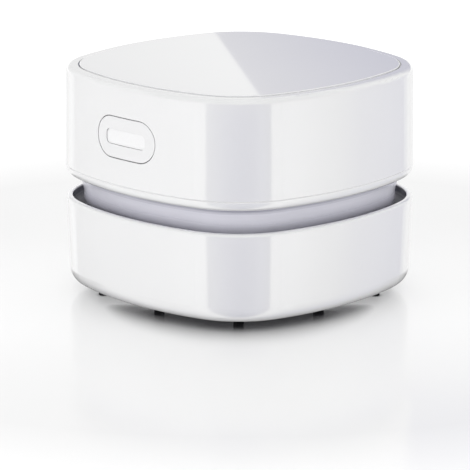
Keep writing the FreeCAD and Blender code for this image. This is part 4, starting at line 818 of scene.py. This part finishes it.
def joined(pieces, name):
    """Several pieces made into one."""
    start_clean()
    for piece in pieces:
        piece.select_set(True)
    bpy.context.view_layer.objects.active = pieces[0]
    bpy.ops.object.join()
    pieces[0].name = name
    return pieces[0]


# %% One strand
tuft_low, tuft_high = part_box("bristle_tufts")
STRAND_LENGTH = tuft_high.z - tuft_low.z
STRAND_RADIUS = 0.0001
STRAND_SPREAD = 0.00022
STRAND_CUTS = 0.02, 0.25, 0.55
NEARLY_LEVEL = 0.00001
start_clean()
bpy.ops.mesh.primitive_cylinder_add(
    vertices=5, radius=STRAND_RADIUS, depth=STRAND_LENGTH, location=(0, 0, STRAND_LENGTH / 2)
)
strand = bpy.context.active_object
bpy.ops.object.transform_apply(location=True)
bpy.ops.object.mode_set(mode="EDIT")
cuts = [share * STRAND_LENGTH for share in STRAND_CUTS]
for height in cuts:
    bpy.ops.mesh.select_all(action="SELECT")
    bpy.ops.mesh.bisect(plane_co=(0, 0, height), plane_no=(0, 0, 1))
for height in (0, *cuts):
    select_where(strand, lambda place: abs(place.z - height) < NEARLY_LEVEL)
    bend = STRAND_SPREAD * (1 - height / STRAND_LENGTH) ** 2
    bpy.ops.transform.translate(value=(bend, 0, 0))
select_where(strand, lambda place: place.z < NEARLY_LEVEL)
bpy.ops.transform.resize(value=(0.5, 0.5, 1), center_override=(STRAND_SPREAD, 0, 0))
bpy.ops.object.mode_set(mode="OBJECT")
bpy.ops.object.shade_smooth()
print("a strand has", len(strand.data.polygons), "faces")

# %% One tuft
STRANDS = 96
STRAND_TWIST = 0.7
STRAND_WIDTHS = 0.5, 1.1
STRAND_DEPTHS = 0.85, 1.1
TUFT_RADIUS = 0.00118
GOLDEN_TURN = math.pi * (3 - math.sqrt(5))
chance = random.Random(7)
bundle = []
for count in range(STRANDS):
    turn = count * GOLDEN_TURN
    out = TUFT_RADIUS * math.sqrt((count + 0.5) / STRANDS)
    spot = Matrix.Translation((out * math.cos(turn), out * math.sin(turn), 0))
    facing = Matrix.Rotation(turn + chance.uniform(-STRAND_TWIST, STRAND_TWIST), 4, "Z")
    girth = Matrix.Diagonal((chance.uniform(*STRAND_WIDTHS), chance.uniform(*STRAND_DEPTHS), 1, 1))
    bundle.append(placed_copy(strand, f"strand_{count}", spot @ facing @ girth))
bpy.data.objects.remove(strand)
tuft = joined(bundle, "tuft")
print(STRANDS, "strands in a tuft")


# %% Ten tufts, where the base has its holes
PIN_FOOT = 0.0003
PIN_REACH = 0.0035


def feet_of(pins):
    """The middles of the pins' lower ends, each from the corners nearest to each other."""
    groups = []
    for corner in (vertex.co.copy() for vertex in pins.data.vertices if vertex.co.z < PIN_FOOT):
        own_pin = next((group for group in groups if (group[0] - corner).length < PIN_REACH), None)
        if own_pin:
            own_pin.append(corner)
        else:
            groups.append([corner])
    middles = []
    for group in groups:
        xs = [corner.x for corner in group]
        ys = [corner.y for corner in group]
        middles.append(Vector(((min(xs) + max(xs)) / 2, (min(ys) + max(ys)) / 2, 0)))
    return middles


TUFT_TURN = 1.3
holes = feet_of(nodes["bristle_tufts"])
tufts = []
for count, hole in enumerate(holes):
    facing = Matrix.Rotation(TUFT_TURN * count, 4, "Z")
    tufts.append(placed_copy(tuft, f"tuft_{count}", Matrix.Translation(hole) @ facing))
bpy.data.objects.remove(tuft)
brushes = joined(tufts, "brush_strands")
brushes.data.materials.clear()
brushes.data.materials.append(bristle)
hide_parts("bristle_tufts")
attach(brushes, "dust_cup")
print(len(holes), "tufts,", len(brushes.data.polygons), "faces")

# %% [markdown]
# ## Return spring
# Behind the button a coil of steel wire pushes it back out. A stiff coil that stays in place would cut
# into the button when that goes in, so a real one gets shorter instead. The construction model gives
# its shape at rest. A copy of that shape is welded, because its triangles are loose; the copy keeps its
# rest shape and is not made to get shorter.

# %% A welded copy of the coil
WELD = 0.000002
start_clean()
coil = bpy.data.objects.new("spring_coil", nodes["button_spring"].data.copy())
bpy.context.scene.collection.objects.link(coil)
coil.select_set(True)
bpy.context.view_layer.objects.active = coil
bpy.ops.object.mode_set(mode="EDIT")
bpy.ops.mesh.select_all(action="SELECT")
bpy.ops.mesh.remove_doubles(threshold=WELD)
bpy.ops.mesh.normals_make_consistent(inside=False)
bpy.ops.object.mode_set(mode="OBJECT")
bpy.ops.object.shade_smooth_by_angle(angle=math.radians(50))
coil.data.materials.clear()
coil.data.materials.append(steel)
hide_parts("button_spring")
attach(coil, "motor_unit")
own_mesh(coil)

# %% [markdown]
# ## Filter cloth
# The dust filter is a round of pressed cloth that lies on the cross bars of its frame. Between the bars
# it sags a little under its own weight, and round its rim the frame's ring holds it level. It starts as
# a disc with rings of faces, whose vertices sink where nothing carries them, and a Solidify modifier
# gives it its thickness.

# %% A sagging round of cloth
media_low, media_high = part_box("filter_media")
CLOTH_RADIUS = (media_high.x - media_low.x) / 2
CLOTH_PLAY = 0.0001
CLOTH_THICK = media_high.z - media_low.z - CLOTH_PLAY
CLOTH_LIFT = 0.00002
CLOTH_SAG = 0.0003
CLOTH_RINGS = 18
BAR_HALF = 0.0010
BAR_SLOPE = 0.007
RIM_WIDTH = 0.0016
RIM_SLOPE = 0.006
start_clean()
bpy.ops.mesh.primitive_circle_add(
    vertices=96, radius=CLOTH_RADIUS, fill_type="NGON", location=(0, 0, media_low.z + CLOTH_LIFT)
)
media = bpy.context.active_object
bpy.ops.object.transform_apply(location=True)
media.name = "filter_felt"
bpy.ops.object.mode_set(mode="EDIT")
bpy.ops.mesh.select_all(action="SELECT")
for ring in range(CLOTH_RINGS - 1):
    bpy.ops.mesh.inset(thickness=CLOTH_RADIUS / CLOTH_RINGS)
bpy.ops.mesh.poke()
bpy.ops.object.mode_set(mode="OBJECT")


def ease(value):
    """A smooth rise from 0 to 1."""
    value = max(0.0, min(1.0, value))
    return value * value * (3 - 2 * value)


for vertex in media.data.vertices:
    x, y, z = vertex.co
    from_bar = ease((min(abs(x), abs(y)) - BAR_HALF) / BAR_SLOPE)
    from_rim = ease((CLOTH_RADIUS - RIM_WIDTH - math.hypot(x, y)) / RIM_SLOPE)
    vertex.co.z = z - CLOTH_SAG * from_bar * from_rim
thick = media.modifiers.new("thickness", "SOLIDIFY")
thick.thickness = CLOTH_THICK
thick.offset = 1
bpy.ops.object.modifier_apply(modifier=thick.name)
bpy.ops.object.shade_smooth_by_angle(angle=math.radians(40))
media.data.materials.append(filter_cloth)
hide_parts("filter_media")
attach(media, "dust_cup")
heights = [1000 * vertex.co.z for vertex in media.data.vertices]
print("the cloth lies between", round(min(heights), 2), "and", round(max(heights), 2), "mm")
